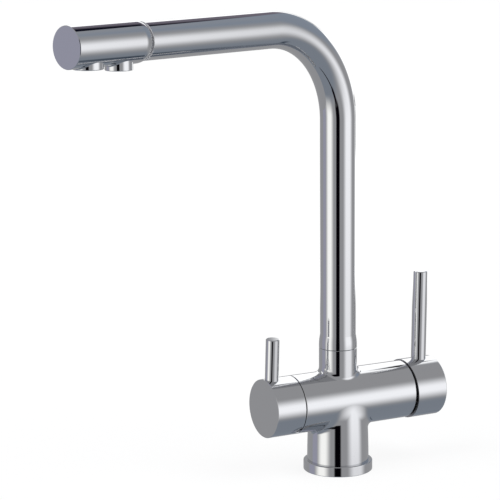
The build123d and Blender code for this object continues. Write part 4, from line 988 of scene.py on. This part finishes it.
def shelf():
    """Level plane that only the chrome sees, and only from above."""
    def surface(tree):
        glossy = add(tree, "ShaderNodeLightPath")["Is Glossy Ray"]
        from_below = add(tree, "ShaderNodeNewGeometry")["Backfacing"]
        mask = add(tree, "ShaderNodeMath", {0: glossy, 1: from_below}, operation="GREATER_THAN")[0]
        clear = add(tree, "ShaderNodeBsdfTransparent")[0]
        grey = add(tree, "ShaderNodeEmission", {"Color": hex_colour(WALLS)})[0]
        return add(tree, "ShaderNodeMixShader", {0: mask, 1: clear, 2: grey})[0]

    stage_plane("shelf", [studio_point(side, away, SHELF_HEIGHT) for side, away in SHELF_CORNERS],
                surface)


def cards():
    """Plane behind the tap that only the chrome sees, and only where it carries a card."""
    def surface(tree):
        place = add(tree, "ShaderNodeTexCoord")["Object"]
        glossy = add(tree, "ShaderNodeLightPath")["Is Glossy Ray"]
        shader = add(tree, "ShaderNodeBsdfTransparent")[0]
        for edges, colour, strength in CARDS:
            # a card covers what lies inside all its edges
            mask = glossy
            for facing, offset, softness in edges:
                outwards = studio_point(cos(radians(facing)), 0, sin(radians(facing))) / MM
                reach = add(tree, "ShaderNodeVectorMath", {0: place, 1: outwards},
                            operation="DOT_PRODUCT")["Value"]
                inside = add(tree, "ShaderNodeMapRange", {
                    0: reach, 1: (offset + softness) * MM, 2: (offset - softness) * MM,
                }, interpolation_type="SMOOTHSTEP")[0]
                mask = add(tree, "ShaderNodeMath", {0: mask, 1: inside}, operation="MULTIPLY")[0]
            glow = add(tree, "ShaderNodeEmission",
                       {"Color": hex_colour(colour), "Strength": strength})[0]
            shader = add(tree, "ShaderNodeMixShader", {0: mask, 1: shader, 2: glow})[0]
        return shader

    left, right, bottom, top = CARD_REACH
    corners = ((left, bottom), (right, bottom), (right, top), (left, top))
    stage_plane("cards", [studio_point(side, CARD_DISTANCE, height) for side, height in corners],
                surface)


def suns():
    """Two wide soft suns, which the chrome doesn't mirror."""
    for name, turn in SUN_TURNS.items():
        data = bpy.data.lights.new(name, "SUN")
        data.angle = radians(SUN_SPREAD)
        data.energy = SUN_STRENGTH
        obj = bpy.data.objects.new(name, data)
        bpy.context.scene.collection.objects.link(obj)
        angle = radians(turn - CAMERA_TURN)
        direction = Vector((sin(angle), -cos(angle), tan(radians(SUN_LIFT))))
        obj.rotation_euler = direction.to_track_quat("Z", "Y").to_euler()
        obj.visible_glossy = False


def camera():
    """Camera at the photograph's viewing angle."""
    data = bpy.data.cameras.new("camera")
    data.lens = CAMERA_LENS
    data.sensor_width = SENSOR_WIDTH
    obj = bpy.data.objects.new("camera", data)
    bpy.context.scene.collection.objects.link(obj)
    turn = Matrix.Rotation(-radians(CAMERA_TURN), 4, "Z")
    dip = Matrix.Rotation(radians(90 - CAMERA_DIP), 4, "X")
    roll = Matrix.Rotation(radians(CAMERA_ROLL), 4, "Z")
    obj.matrix_world = Matrix.Translation(CAMERA_PLACE) @ turn @ dip @ roll
    bpy.context.scene.camera = obj


dress_packed_nodes()
body_skin()
flange_skin()
dome_skin()
handles()
tube_skin()
foot_skin()
head_skin()
head_cap_skin()
aerator_ring_skins()
studio_world()
floor()
cards()
shelf()
suns()
camera()
bpy.context.scene.view_settings.view_transform = "Standard"
